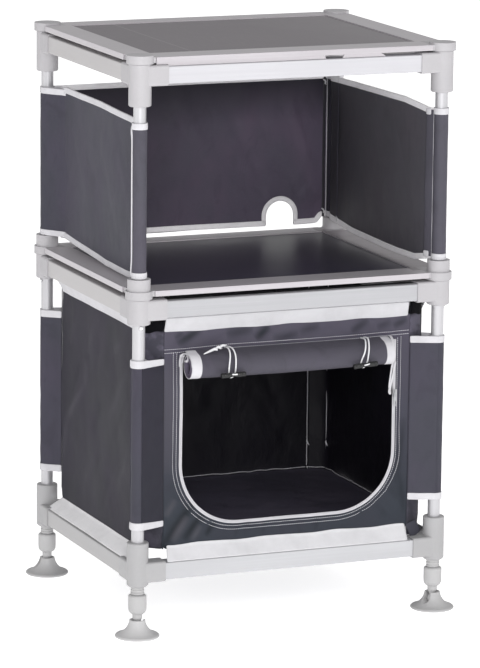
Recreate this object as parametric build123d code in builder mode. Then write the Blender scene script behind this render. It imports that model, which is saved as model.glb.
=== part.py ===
from build123d import *
import math
import os

os.makedirs("parts", exist_ok=True)

# Camping cupboard, millimetres.  +X right, front = -Y, +Z up.
# Origin: middle of the four feet, on the ground.

# ---------------------------------------------------------------- driving dimensions
POST_X = 280.5          # post axes, left/right of the middle
POST_Y = 231.75         # post axes, in front of / behind the middle
TUBE_R = 11.0           # 22 mm post tube
TUBE_WALL = 1.5
FIT = 0.04              # radial clearance of a plugged tube
RUN = 0.06              # radial clearance of a running fit

RAIL = 30.0             # square rail tube
RAIL_WALL = 1.5
ARM_LEN = 46.0          # connector arm, from the post axis
ARM_W = 34.0
ARM_H = 36.0
SPIGOT = 26.8
SPIGOT_LEN = 26.0

# levels of the three frames
BOT_SLEEVE = (90.0, 168.0)
BOT_ARM_Z = 115.5       # middle height of the arms and rails
MID_SLEEVE = (550.5, 595.0)
MID_ARM_Z = 575.5
TOP_SLEEVE = (926.0, 998.5)
TOP_ARM_Z = 978.5
BOT_R, MID_R, TOP_R = 19.0, 20.0, 19.5

LOWER_POST = (147.0, 588.0)
UPPER_POST = (600.6, 986.0)

# plates
PLATE_X, PLATE_Y = 295.0, 246.0       # outer half sizes of the profile frame
BOARD_X = 246.6                        # dark board half width
BOARD_Y0, BOARD_Y1 = -189.6, 203.6     # dark board front and back edge
CORNER_X = 256.0                       # where the corner pieces begin
SHELF_Z = 599.5                        # underside of the shelf frame
TOP_Z = 1000.0                         # underside of the top frame
PROFILE_H = 9.5

# foot
STEM_R = 11.8
PITCH = 5.0
STEM = (75.6, 129.0)
GRIP_R = 16.0
GRIP = (41.3, 75.3)
CORE_R = 8.0
NECK_R = 8.5
BALL_Z, BALL_R = 17.0, 9.0
PAD_R, PAD_H = 38.8, 30.0

# snap button
BUTTON_Z, BUTTON_R = 545.5, 4.0

# fabric
CLOTH = 2.4
SLEEVE_IN, SLEEVE_OUT = 11.4, 14.0     # cloth sleeve round a post
WALL_X = 264.0                         # middle plane of the side cloths
BACK_Y = 240.0                         # middle plane of the upper back cloth
WALL_Y = 224.0                         # middle plane of the lower front and back cloths
UP_Z = (618.0, 897.0)                  # upper cloth
UP_MID = 630.4                         # its lower edge where it meets the posts
LOW_Z = (134.2, 557.0)                 # lower cloth at its corners
BAND_Z = (154.5, 533.0)                # where the front and back cloths bend out towards the rails
SIDE_Z = (147.0, 533.0)                # where the side cloths bend out towards the rails
STRIP_Z = (192.0, 489.0)               # lower cloth at the posts
PANEL_X = 231.0                        # lower front panel half width
SIDE_Y = 204.0                         # where the lower side cloth turns in to the corner

# door opening in the lower front panel
DOOR_X = 199.0
DOOR_Z = (189.0, 494.0)
DOOR_R = 106.0
ZIP_W = 6.0

# rolled door
ROLL_R = 21.8
ROLL_Y, ROLL_Z = -241.0, 471.5
ROLL_X = (-193.5, 188.0)

CORNERS = {
    "front_left": (-1, -1),
    "front_right": (1, -1),
    "back_left": (-1, 1),
    "back_right": (1, 1),
}
# the way each snap button points, out of its post
BUTTON_WAY = {
    "front_left": (0, -1),
    "front_right": (1, 0),
    "back_left": (-1, 0),
    "back_right": (0, 1),
}


def facing_front(y):
    """Plane whose local x, y are the row's X, Z; it extrudes towards -Y."""
    return Plane(origin=(0, y, 0), x_dir=(1, 0, 0), z_dir=(0, -1, 0))


def facing_right(x):
    """Plane whose local x, y are the row's Y, Z; it extrudes towards +X."""
    return Plane(origin=(x, 0, 0), x_dir=(0, 1, 0), z_dir=(1, 0, 0))


def save(builder, name):
    builder.part.label = name
    export_step(builder.part, f"parts/{name}.step")


# ---------------------------------------------------------------- corner connectors
# One sleeve round the post with two arms at right angles; each arm carries a
# spigot that fills the end of a square rail.
def connector_level(name, sleeve, sleeve_r, arm_z, low_bore, low_r, high_bore, high_r, lip):
    z0, z1 = sleeve
    with BuildPart() as level:
        for sx, sy in CORNERS.values():
            cx, cy = sx * POST_X, sy * POST_Y
            # sleeve, turned profile with a bevelled lower end and a soft upper lip
            with BuildSketch(Plane(origin=(cx, cy, 0), x_dir=(1, 0, 0), z_dir=(0, -1, 0))):
                with BuildLine():
                    Polyline(
                        (0, z0), (sleeve_r - lip, z0), (sleeve_r, z0 + lip),
                        (sleeve_r, z1 - 1.2), (sleeve_r - 1.2, z1), (0, z1), (0, z0),
                    )
                make_face()
            revolve(axis=Axis((cx, cy, 0), (0, 0, 1)))
            # arm along X
            with BuildSketch(facing_right(cx)):
                with Locations((cy, arm_z)):
                    RectangleRounded(ARM_W, ARM_H, 4.0)
            extrude(amount=-sx * ARM_LEN)
            with BuildSketch(facing_right(cx - sx * ARM_LEN)):
                with Locations((cy, arm_z)):
                    RectangleRounded(SPIGOT, SPIGOT, 1.0)
            extrude(amount=-sx * SPIGOT_LEN)
            # arm along Y
            with BuildSketch(facing_front(cy)):
                with Locations((cx, arm_z)):
                    RectangleRounded(ARM_W, ARM_H, 4.0)
            extrude(amount=sy * ARM_LEN)
            with BuildSketch(facing_front(cy - sy * ARM_LEN)):
                with Locations((cx, arm_z)):
                    RectangleRounded(SPIGOT, SPIGOT, 1.0)
            extrude(amount=sy * SPIGOT_LEN)
            # bores for the tube above and the tube or screw below
            with BuildSketch(Plane(origin=(cx, cy, low_bore[0]))):
                Circle(low_r)
            extrude(amount=low_bore[1] - low_bore[0], mode=Mode.SUBTRACT)
            with BuildSketch(Plane(origin=(cx, cy, high_bore[0]))):
                Circle(high_r)
            extrude(amount=high_bore[1] - high_bore[0], mode=Mode.SUBTRACT)
    save(level, name)


connector_level("bottom_connectors", BOT_SLEEVE, BOT_R, BOT_ARM_Z,
                (BOT_SLEEVE[0] - 1, 145.0), STEM_R + RUN,
                (147.0, BOT_SLEEVE[1] + 1), TUBE_R + FIT, 3.2)
connector_level("middle_connectors", MID_SLEEVE, MID_R, MID_ARM_Z,
                (MID_SLEEVE[0] - 1, 588.4), TUBE_R + FIT,
                (588.3, MID_SLEEVE[1] + 1), 9.6, 1.6)
connector_level("top_connectors", TOP_SLEEVE, TOP_R, TOP_ARM_Z,
                (TOP_SLEEVE[0] - 1, 986.4), TUBE_R + FIT,
                (986.3, TOP_SLEEVE[1] + 1), 9.6, 1.6)

# ---------------------------------------------------------------- square rails
RAIL_X = POST_X - ARM_LEN - 0.1       # half length, left-right rails
RAIL_Y = POST_Y - ARM_LEN - 0.1       # half length, front-back rails


def cross_rail(name, sy, z):
    with BuildPart() as rail:
        with BuildSketch(facing_right(-RAIL_X)):
            with Locations((sy * POST_Y, z)):
                RectangleRounded(RAIL, RAIL, 2.0)
                RectangleRounded(RAIL - 2 * RAIL_WALL, RAIL - 2 * RAIL_WALL, 0.8, mode=Mode.SUBTRACT)
        extrude(amount=2 * RAIL_X)
    save(rail, name)


def side_rails(name, z):
    with BuildPart() as rails:
        with BuildSketch(facing_front(RAIL_Y)):
            with Locations((-POST_X, z), (POST_X, z)):
                RectangleRounded(RAIL, RAIL, 2.0)
                RectangleRounded(RAIL - 2 * RAIL_WALL, RAIL - 2 * RAIL_WALL, 0.8, mode=Mode.SUBTRACT)
        extrude(amount=2 * RAIL_Y)
    save(rails, name)


for level, z in (("bottom", BOT_ARM_Z), ("middle", MID_ARM_Z), ("top", TOP_ARM_Z)):
    cross_rail(f"{level}_rail_front", -1, z)
    cross_rail(f"{level}_rail_back", 1, z)
    side_rails(f"{level}_side_rails", z)

# ---------------------------------------------------------------- posts
for corner, (sx, sy) in CORNERS.items():
    cx, cy = sx * POST_X, sy * POST_Y
    wx, wy = BUTTON_WAY[corner]
    with BuildPart() as lower_post:
        with BuildSketch(Plane(origin=(cx, cy, LOWER_POST[0]))):
            Circle(TUBE_R)
            Circle(TUBE_R - TUBE_WALL, mode=Mode.SUBTRACT)
        extrude(amount=LOWER_POST[1] - LOWER_POST[0])
        # hole for the snap button, through one wall
        with BuildSketch(Plane(origin=(cx, cy, BUTTON_Z), x_dir=(-wy, wx, 0), z_dir=(wx, wy, 0))):
            Circle(BUTTON_R + RUN)
        extrude(amount=TUBE_R + 1, mode=Mode.SUBTRACT)
    save(lower_post, f"lower_post_{corner}")

    with BuildPart() as upper_post:
        with BuildSketch(Plane(origin=(cx, cy, UPPER_POST[0]))):
            Circle(TUBE_R)
            Circle(TUBE_R - TUBE_WALL, mode=Mode.SUBTRACT)
        extrude(amount=UPPER_POST[1] - UPPER_POST[0])
    save(upper_post, f"upper_post_{corner}")

    # snap button: domed pin with a flange inside the tube
    with BuildPart() as snap_button:
        with BuildSketch(Plane(origin=(cx + 6.2 * wx, cy + 6.2 * wy, BUTTON_Z), x_dir=(-wy, wx, 0), z_dir=(wx, wy, 0))):
            Circle(5.0)
        extrude(amount=1.2)
        with BuildSketch(Plane(origin=(cx + 7.4 * wx, cy + 7.4 * wy, BUTTON_Z), x_dir=(-wy, wx, 0), z_dir=(wx, wy, 0))):
            Circle(BUTTON_R)
        extrude(amount=6.5)
        outer = snap_button.faces().sort_by(Axis((cx, cy, BUTTON_Z), (wx, wy, 0)))[-1]
        fillet(outer.edges(), radius=2.0)
    save(snap_button, f"snap_button_{corner}")

# bent leaf spring behind each button, inside the tube
with BuildPart() as button_springs:
    for corner, (sx, sy) in CORNERS.items():
        wx, wy = BUTTON_WAY[corner]
        strip = Plane(origin=(sx * POST_X, sy * POST_Y, 0), x_dir=(wx, wy, 0), z_dir=(wy, -wx, 0))
        with BuildSketch(strip):
            with Locations((-2.85, 505.0)):
                Circle(5.75)
                Circle(5.15, mode=Mode.SUBTRACT)
            with Locations((-2.85, 512.0)):
                Rectangle(14.0, 14.0, mode=Mode.SUBTRACT)
            with Locations((-8.3, 532.5)):
                Rectangle(0.6, 55.0)
            with Locations((2.6, 528.5)):
                Rectangle(0.6, 47.0)
        extrude(amount=3.0, both=True)
save(button_springs, "button_springs")

# ---------------------------------------------------------------- screw feet
for corner, (sx, sy) in CORNERS.items():
    cx, cy = sx * POST_X, sy * POST_Y
    profile = Plane(origin=(cx, cy, 0), x_dir=(1, 0, 0), z_dir=(0, -1, 0))
    spin = Axis((cx, cy, 0), (0, 0, 1))

    # ball, neck, plain core inside the grip, and the coarse screw above it
    with BuildPart() as foot_screw:
        teeth = []
        z = STEM[0] + 1.4
        while z + PITCH < STEM[1] - 1.0:
            teeth += [(STEM_R, z), (STEM_R, z + 2.2), (STEM_R - 1.0, z + 2.9), (STEM_R - 1.0, z + 4.3)]
            z += PITCH
        with BuildSketch(profile):
            with BuildLine():
                ThreePointArc((0, BALL_Z - BALL_R), (BALL_R, BALL_Z), (5.5, BALL_Z + math.sqrt(BALL_R**2 - 5.5**2)))
                Polyline(
                    (5.5, BALL_Z + math.sqrt(BALL_R**2 - 5.5**2)), (5.5, 26.5), (NECK_R, 33.5),
                    (NECK_R, GRIP[0] - 0.25), (CORE_R, GRIP[0] - 0.25), (CORE_R, STEM[0]),
                    (STEM_R - 1.0, STEM[0]), *teeth, (STEM_R - 1.0, STEM[1]), (0, STEM[1]),
                    (0, BALL_Z - BALL_R),
                )
            make_face()
        revolve(axis=spin)
    save(foot_screw, f"foot_screw_{corner}")

    # hand grip that turns the screw: a slightly barrelled ring
    with BuildPart() as foot_grip:
        with BuildSketch(profile):
            with BuildLine():
                Polyline(
                    (CORE_R + RUN, GRIP[0]), (10.8, GRIP[0]), (14.0, GRIP[0] + 2.8), (15.6, GRIP[0] + 6.5),
                    (GRIP_R, GRIP[0] + 14.0), (GRIP_R, GRIP[1] - 3.2), (15.2, GRIP[1] - 1.2),
                    (12.6, GRIP[1]), (CORE_R + RUN, GRIP[1]), (CORE_R + RUN, GRIP[0]),
                )
            make_face()
        revolve(axis=spin)
    save(foot_grip, f"foot_grip_{corner}")

    # bell-shaped pad with a ball socket, slotted on one side
    way = {"front_left": 35, "front_right": 205, "back_left": 170, "back_right": 20}[corner]
    out = Vector(math.cos(math.radians(way)), math.sin(math.radians(way)), 0)
    away = Plane(origin=(cx, cy, 0), x_dir=(-out.X, -out.Y, 0), z_dir=(-out.Y, out.X, 0))
    with BuildPart() as foot_pad:
        with BuildSketch(away):
            with BuildLine():
                Polyline((0, 0), (37.6, 0), (PAD_R, 1.4), (PAD_R, 2.8), (37.0, 4.6))
                ThreePointArc((37.0, 4.6), (20.4, 14.4), (14.2, 27.6))
                Polyline((14.2, 27.6), (13.6, PAD_H), (0, PAD_H), (0, 0))
            make_face()
        revolve(axis=spin)
        with BuildSketch(away):
            with BuildLine():
                Line((0, BALL_Z - 9.3), (0, PAD_H + 1))
                Polyline((0, PAD_H + 1), (11.4, PAD_H + 1), (10.9, PAD_H), (7.5, BALL_Z + 5.5))
                ThreePointArc((7.5, BALL_Z + 5.5), (9.3, BALL_Z), (0, BALL_Z - 9.3))
            make_face()
        revolve(axis=spin, mode=Mode.SUBTRACT)
        with BuildSketch(Plane(origin=(cx, cy, 0), x_dir=(-out.Y, out.X, 0), z_dir=(out.X, out.Y, 0))):
            with Locations((0, 24.0)):
                RectangleRounded(14.6, 26.0, 6.9)
        extrude(amount=PAD_R, mode=Mode.SUBTRACT)
    save(foot_pad, f"foot_pad_{corner}")

# ---------------------------------------------------------------- shelf plate (on the middle frame)
with BuildPart() as shelf_board:
    with BuildSketch(Plane.XY.offset(SHELF_Z + 0.5)):
        with Locations((0, (BOARD_Y0 + BOARD_Y1) / 2)):
            Rectangle(2 * BOARD_X, BOARD_Y1 - BOARD_Y0)
    extrude(amount=7.0)
save(shelf_board, "shelf_board")


def plate_edges(name, z, lip):
    with BuildPart() as edges:
        # front and back profiles, between the corner pieces
        with BuildSketch(Plane.XY.offset(z)):
            with Locations((0, (-PLATE_Y + BOARD_Y0 - 0.2) / 2)):
                Rectangle(2 * CORNER_X - 0.4, PLATE_Y + BOARD_Y0 - 0.2)
            with Locations((0, (PLATE_Y + BOARD_Y1 + 0.2) / 2)):
                Rectangle(2 * CORNER_X - 0.4, PLATE_Y - BOARD_Y1 - 0.2)
        extrude(amount=PROFILE_H)
        # left and right profiles
        with BuildSketch(Plane.XY.offset(z)):
            for sx in (-1, 1):
                with Locations((sx * (PLATE_X + BOARD_X + 0.2) / 2, (BOARD_Y0 + BOARD_Y1) / 2)):
                    Rectangle(PLATE_X - BOARD_X - 0.2, BOARD_Y1 - BOARD_Y0)
        extrude(amount=PROFILE_H)
        if lip:
            # hanging lip under the front profile, with a short and a long notch
            with BuildSketch(facing_front(-PLATE_Y + 4.5)):
                with BuildLine():
                    Polyline((-CORNER_X + 0.4, z - 3.0), (-RAIL_X, z - 3.0), (-RAIL_X, z - 6.0), (56, z - 6.0), (52, z), (-CORNER_X + 0.4, z), (-CORNER_X + 0.4, z - 3.0))
                make_face()
                with BuildLine():
                    Polyline((86, z - 6.0), (168, z - 6.0), (158, z), (90, z), (86, z - 6.0))
                make_face()
            extrude(amount=2.5)
    save(edges, name)


def plate_corners(name, z, cap_z, collar, spigot_z):
    """Corner pieces: a block that closes the frame, a round cap or collar on the
    post axis, and a spigot below it."""
    with BuildPart() as corners:
        for sx, sy in CORNERS.values():
            cx, cy = sx * POST_X, sy * POST_Y
            inner = BOARD_Y0 - 0.2 if sy < 0 else BOARD_Y1 + 0.2
            with BuildSketch(Plane.XY.offset(z)):
                with Locations((sx * (CORNER_X + PLATE_X - 3.0) / 2, (inner + sy * (PLATE_Y - 2.0)) / 2)):
                    Rectangle(PLATE_X - 3.0 - CORNER_X, abs(sy * (PLATE_Y - 2.0) - inner))
            extrude(amount=PROFILE_H)
            with BuildSketch(Plane(origin=(cx, cy, cap_z[0]))):
                Circle(23.5)
            extrude(amount=cap_z[1] - cap_z[0])
            if collar:
                with BuildSketch(Plane(origin=(cx, cy, cap_z[1]))):
                    Circle(20.0)
                extrude(amount=629.5 - cap_z[1])
                with BuildSketch(Plane(origin=(cx, cy, UPPER_POST[0] - 0.3))):
                    Circle(TUBE_R + RUN)
                extrude(amount=40.0, mode=Mode.SUBTRACT)
            with BuildSketch(Plane(origin=(cx, cy, cap_z[0]))):
                Circle(9.4)
            extrude(amount=spigot_z - cap_z[0])
    save(corners, name)


plate_edges("shelf_edges", SHELF_Z, False)
plate_corners("shelf_corners", SHELF_Z, (595.2, 609.0), True, 566.0)

# ---------------------------------------------------------------- top plate
with BuildPart() as top_board:
    with BuildSketch(Plane.XY.offset(TOP_Z + 0.5)):
        with Locations((0, (BOARD_Y0 + BOARD_Y1) / 2)):
            Rectangle(2 * BOARD_X, BOARD_Y1 - BOARD_Y0)
    extrude(amount=7.0)
save(top_board, "top_board")

plate_edges("top_edges", TOP_Z, True)
plate_corners("top_corners", TOP_Z, (998.7, 1013.0), False, 970.0)

def wall_outline(points, thick=CLOTH):
    """Closed outline of an upright wall, seen from above, along a line of points."""
    p = [Vector(*q) for q in points]
    one, other = [], []
    for i, q in enumerate(p):
        before = (q - p[i - 1]).normalized() if i else None
        after = (p[i + 1] - q).normalized() if i + 1 < len(p) else None
        along = ((before or after) + (after or before)).normalized()
        side = Vector(-along.Y, along.X)
        run = before or after
        reach = thick / 2 / side.dot(Vector(-run.Y, run.X))
        one.append(q + side * reach)
        other.append(q - side * reach)
    ring = [(v.X, v.Y) for v in one + other[::-1]]
    return ring + ring[:1]


# ---------------------------------------------------------------- upper cloth (three walls on the upper posts)
for name, sx in (("upper_side_left", -1), ("upper_side_right", 1)):
    with BuildPart() as upper_side:
        with BuildSketch(Plane.XY.offset(UP_MID)):
            # sleeves round the front and back post
            with Locations((sx * POST_X, -POST_Y), (sx * POST_X, POST_Y)):
                Circle(SLEEVE_OUT)
            with BuildLine():
                Polyline(*wall_outline([
                    (sx * 272.0, -224.5), (sx * WALL_X, -213.0), (sx * WALL_X, 213.0), (sx * 272.0, 224.5),
                ]))
            make_face()
            # the outer strip to the back post
            with BuildLine():
                Polyline(*wall_outline([(sx * (WALL_X + 0.4), 182.0), (sx * 291.0, 223.0)]))
            make_face()
            with Locations((sx * POST_X, -POST_Y), (sx * POST_X, POST_Y)):
                Circle(SLEEVE_IN, mode=Mode.SUBTRACT)
        extrude(amount=UP_Z[1] - UP_MID)
        with BuildSketch(Plane.XY.offset(UP_Z[0])):
            with Locations((sx * WALL_X, 0)):
                Rectangle(CLOTH, 410.0)
        extrude(amount=UP_MID - UP_Z[0])
    save(upper_side, name)

# back wall with the half-round cable port
with BuildPart() as upper_back:
    with BuildSketch(facing_front(BACK_Y + CLOTH / 2)):
        with Locations((0, (UP_MID + UP_Z[1]) / 2)):
            Rectangle(2 * (POST_X - SLEEVE_OUT - 0.8), UP_Z[1] - UP_MID)
        with Locations((176.0, 636.5)):
            Circle(27.0, mode=Mode.SUBTRACT)
        with Locations((176.0, 633.25)):
            Rectangle(54.0, 6.5, mode=Mode.SUBTRACT)
        with Locations((0, (UP_Z[0] + UP_MID) / 2)):
            Rectangle(514.0, UP_MID - UP_Z[0])
    extrude(amount=CLOTH)
save(upper_back, "upper_back_panel")

# ---------------------------------------------------------------- lower cloth compartment
for name, sx in (("lower_side_left", -1), ("lower_side_right", 1)):
    with BuildPart() as lower_side:
        # side wall, turned in at both ends past the inner side of the posts
        with BuildSketch(Plane.XY.offset(SIDE_Z[0] - 0.6)):
            with BuildLine():
                Polyline(*wall_outline([
                    (sx * 233.6, -221.2), (sx * WALL_X, -SIDE_Y), (sx * WALL_X, SIDE_Y), (sx * 233.6, 221.2),
                ]))
            make_face()
        extrude(amount=SIDE_Z[1] + 0.6 - (SIDE_Z[0] - 0.6))
        # the turned-in corners reach the rails
        for sy in (-1, 1):
            for low, high in ((LOW_Z[0], SIDE_Z[0]), (SIDE_Z[1], LOW_Z[1])):
                with BuildSketch(Plane.XY.offset(low)):
                    with BuildLine():
                        Polyline(*wall_outline([(sx * 233.6, sy * 221.2), (sx * WALL_X, sy * SIDE_Y), (sx * WALL_X, sy * 190.0)]))
                    make_face()
                extrude(amount=high - low)
        # bands that lean out to the rails, below and above
        with BuildSketch(facing_front(184.0)):
            with BuildLine():
                Polyline(*wall_outline([(sx * WALL_X, SIDE_Z[0]), (sx * 288.5, 132.6)]))
            make_face()
            with BuildLine():
                Polyline(*wall_outline([(sx * WALL_X, SIDE_Z[1]), (sx * 277.0, 558.6)]))
            make_face()
        extrude(amount=368.0)
        # strips from the wall round the front and back post
        with BuildSketch(Plane.XY.offset(STRIP_Z[0])):
            with Locations((sx * POST_X, -POST_Y), (sx * POST_X, POST_Y)):
                Circle(SLEEVE_OUT)
            for sy in (-1, 1):
                with BuildLine():
                    Polyline(*wall_outline([(sx * (WALL_X + 0.4), sy * SIDE_Y), (sx * 292.0, sy * 225.5)]))
                make_face()
            with Locations((sx * POST_X, -POST_Y), (sx * POST_X, POST_Y)):
                Circle(SLEEVE_IN, mode=Mode.SUBTRACT)
        extrude(amount=STRIP_Z[1] - STRIP_Z[0])
    save(lower_side, name)


def door_outline(grow, top):
    """The door outline, straight sides and a round-cornered foot, grown outwards."""
    x, z0, r = DOOR_X + grow, DOOR_Z[0] - grow, DOOR_R + grow
    with BuildLine() as outline:
        Polyline((-x, z0 + r), (-x, top), (x, top), (x, z0 + r))
        RadiusArc((x, z0 + r), (x - r, z0), r)
        Line((x - r, z0), (-x + r, z0))
        RadiusArc((-x + r, z0), (-x, z0 + r), r)
    return outline.line.edges()


# front and back cloth: upright wall, bands leaning out to the rails, strips to the posts
for name, sy in (("lower_front_panel", -1), ("lower_back_panel", 1)):
    with BuildPart() as cross_wall:
        with BuildSketch(facing_right(-PANEL_X)):
            with BuildLine():
                Polyline(*wall_outline([
                    (sy * 243.0, 132.6), (sy * WALL_Y, BAND_Z[0]), (sy * WALL_Y, BAND_Z[1]), (sy * 236.0, 558.6),
                ]))
            make_face()
        extrude(amount=2 * PANEL_X)
        with BuildSketch(Plane.XY.offset(STRIP_Z[0])):
            for sx in (-1, 1):
                with BuildLine():
                    Polyline(*wall_outline([(sx * 228.5, sy * 224.2), (sx * 265.6, sy * 239.4)]))
                make_face()
        extrude(amount=STRIP_Z[1] - STRIP_Z[0])
        if sy < 0:
            with BuildSketch(facing_front(-WALL_Y + 10)):
                make_face(door_outline(0.0, DOOR_Z[1]))
            extrude(amount=20, mode=Mode.SUBTRACT)
    save(cross_wall, name)

with BuildPart() as lower_floor:
    with BuildSketch(Plane.XY.offset(156.0)):
        with BuildLine():
            Polyline(
                (-228.0, -220.5), (228.0, -220.5), (260.5, -201.9), (260.5, 201.9),
                (228.0, 220.5), (-228.0, 220.5), (-260.5, 201.9), (-260.5, -201.9), (-228.0, -220.5),
            )
        make_face()
    extrude(amount=4.0)
save(lower_floor, "compartment_floor")

# ---------------------------------------------------------------- zip round the door opening
FACE_Y = -WALL_Y - CLOTH / 2          # front surface of the lower front panel
with BuildPart() as zip_track:
    with BuildSketch(facing_front(FACE_Y)):
        make_face(door_outline(0.4 + ZIP_W, 491.0))
    extrude(amount=1.5)
    with BuildSketch(facing_front(FACE_Y + 1)):
        make_face(door_outline(0.4, 500.0))
    extrude(amount=5, mode=Mode.SUBTRACT)
save(zip_track, "zip_track")

ZIP_X = DOOR_X + 0.4 + ZIP_W / 2      # middle of the zip on its straight right side
SLIDER_Z = 395.0
with BuildPart() as zip_slider:
    with BuildSketch(Plane(origin=(0, FACE_Y - 1.8, 0), x_dir=(1, 0, 0), z_dir=(0, -1, 0))):
        with BuildLine():
            Polyline(
                (ZIP_X - 2.6, SLIDER_Z - 7), (ZIP_X + 2.6, SLIDER_Z - 7), (ZIP_X + 4.2, SLIDER_Z + 3),
                (ZIP_X + 3.4, SLIDER_Z + 7), (ZIP_X - 3.4, SLIDER_Z + 7), (ZIP_X - 4.2, SLIDER_Z + 3),
                (ZIP_X - 2.6, SLIDER_Z - 7),
            )
        make_face()
    extrude(amount=2.4)
    # bridge that holds the pull
    with BuildSketch(Plane(origin=(ZIP_X - 1.0, 0, 0), x_dir=(0, 1, 0), z_dir=(1, 0, 0))):
        with Locations((FACE_Y - 5.8, SLIDER_Z + 1.0)):
            Rectangle(4.0, 9.0)
            Rectangle(2.4, 6.0, mode=Mode.SUBTRACT)
        with Locations((FACE_Y - 4.3, SLIDER_Z + 1.0)):
            Rectangle(1.2, 6.0, mode=Mode.SUBTRACT)
    extrude(amount=2.0)
save(zip_slider, "zip_slider")

# pull: a loop through the bridge and a flat tongue that hangs down
with BuildPart() as zip_pull:
    with BuildSketch(Plane(origin=(0, FACE_Y - 5.15, 0), x_dir=(1, 0, 0), z_dir=(0, -1, 0))):
        with Locations((ZIP_X, SLIDER_Z - 10.0)):
            RectangleRounded(5.6, 25.0, 2.0)
        with Locations((ZIP_X, SLIDER_Z - 2.6)):
            RectangleRounded(3.0, 7.2, 0.8, mode=Mode.SUBTRACT)
        with Locations((ZIP_X, SLIDER_Z - 17.0)):
            RectangleRounded(2.4, 6.0, 0.8, mode=Mode.SUBTRACT)
    extrude(amount=1.1)
save(zip_pull, "zip_pull")

# ---------------------------------------------------------------- rolled door, toggles and elastic cords
with BuildPart() as door_roll:
    with BuildSketch(facing_right(ROLL_X[0])):
        with Locations((ROLL_Y, ROLL_Z)):
            Circle(ROLL_R)
    extrude(amount=ROLL_X[1] - ROLL_X[0])
save(door_roll, "door_roll")

TOGGLE_Y, TOGGLE_Z, TOGGLE_R, TOGGLE_L = -269.3, 458.5, 4.6, 46.0
with BuildPart() as toggles:
    for cx in (-120.5, 127.0):
        with BuildSketch(facing_right(cx - TOGGLE_L / 2)):
            with Locations((TOGGLE_Y, TOGGLE_Z)):
                Circle(TOGGLE_R)
        extrude(amount=TOGGLE_L)
        with BuildSketch(facing_right(cx - 5.0)):
            with Locations((TOGGLE_Y, TOGGLE_Z)):
                Circle(TOGGLE_R + 1)
                Circle(TOGGLE_R - 1.3, mode=Mode.SUBTRACT)
        extrude(amount=10.0, mode=Mode.SUBTRACT)
save(toggles, "toggles")

CORD_R = 1.3
# each loop leaves the seam above the door, runs down the front of the roll,
# turns behind its toggle and comes back up beside itself
CORD_LEFT = [
    (-120.3, FACE_Y - 0.05, 499.5), (-120.3, -238.0, 501.0), (-121.5, -252.0, 500.0), (-123.5, -262.5, 490.5),
    (-127.0, -266.2, 474.0), (-126.5, -262.0, 456.0), (-120.5, -257.0, 450.6), (-114.5, -262.2, 456.5),
    (-114.6, -266.1, 474.4), (-113.4, -262.5, 490.5), (-114.2, -252.0, 500.5), (-115.0, -238.0, 501.6),
    (-115.0, FACE_Y - 0.05, 500.0),
]
CORD_RIGHT = [
    (136.6, FACE_Y - 0.05, 497.5), (136.6, -238.0, 499.5), (134.0, -252.0, 499.4), (130.2, -262.5, 490.4),
    (127.2, -266.2, 480.0), (121.0, -265.4, 466.0), (120.6, -262.0, 456.0), (126.6, -257.0, 450.6),
    (132.6, -262.2, 456.5), (133.2, -266.1, 470.0), (134.6, -266.2, 481.0), (136.6, -262.5, 490.5),
    (139.6, -252.0, 500.5), (141.6, -238.0, 501.6), (141.6, FACE_Y - 0.05, 498.0),
]


def arc_radii(points):
    p = [Vector(*q) for q in points]
    runs = [(b - a).length for a, b in zip(p, p[1:])]
    radii = []
    for i in range(1, len(p) - 1):
        turn = math.radians((p[i] - p[i - 1]).get_angle(p[i + 1] - p[i]))
        radii.append(0.45 * min(runs[i - 1], runs[i]) / math.tan(turn / 2))
    return runs, radii


for name, points in (("toggle_cord_left", CORD_LEFT), ("toggle_cord_right", CORD_RIGHT)):
    runs, radii = arc_radii(points)
    with BuildPart() as cord:
        with BuildLine() as route:
            FilletPolyline(*points, radius=radii)
        path = route.wires()[0]
        with BuildSketch(Plane(origin=path @ 0, z_dir=path % 0)):
            Circle(CORD_R)
        sweep(path=path)
    print(name, "runs", [round(r, 1) for r in runs], "radii", [round(r, 1) for r in radii],
          "length", round(path.length, 1),
          "volume/section*length", round(cord.part.volume / (math.pi * CORD_R**2 * path.length), 4))
    save(cord, name)
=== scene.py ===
import math
import bpy
import numpy as np
from mathutils import Matrix, Vector, noise


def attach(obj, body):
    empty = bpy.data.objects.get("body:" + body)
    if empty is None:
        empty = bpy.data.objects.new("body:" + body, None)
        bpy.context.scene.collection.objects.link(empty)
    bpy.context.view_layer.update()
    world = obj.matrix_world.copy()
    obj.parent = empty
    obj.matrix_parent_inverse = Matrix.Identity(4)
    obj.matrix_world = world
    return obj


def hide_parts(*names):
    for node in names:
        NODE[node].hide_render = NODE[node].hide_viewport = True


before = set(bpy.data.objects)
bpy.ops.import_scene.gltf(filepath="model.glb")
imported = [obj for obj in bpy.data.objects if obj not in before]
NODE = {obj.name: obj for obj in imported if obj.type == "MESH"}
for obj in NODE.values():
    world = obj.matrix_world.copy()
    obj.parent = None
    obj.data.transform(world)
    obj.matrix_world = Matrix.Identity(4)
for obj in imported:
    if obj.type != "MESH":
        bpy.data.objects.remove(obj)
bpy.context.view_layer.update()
MM = 0.001

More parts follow.
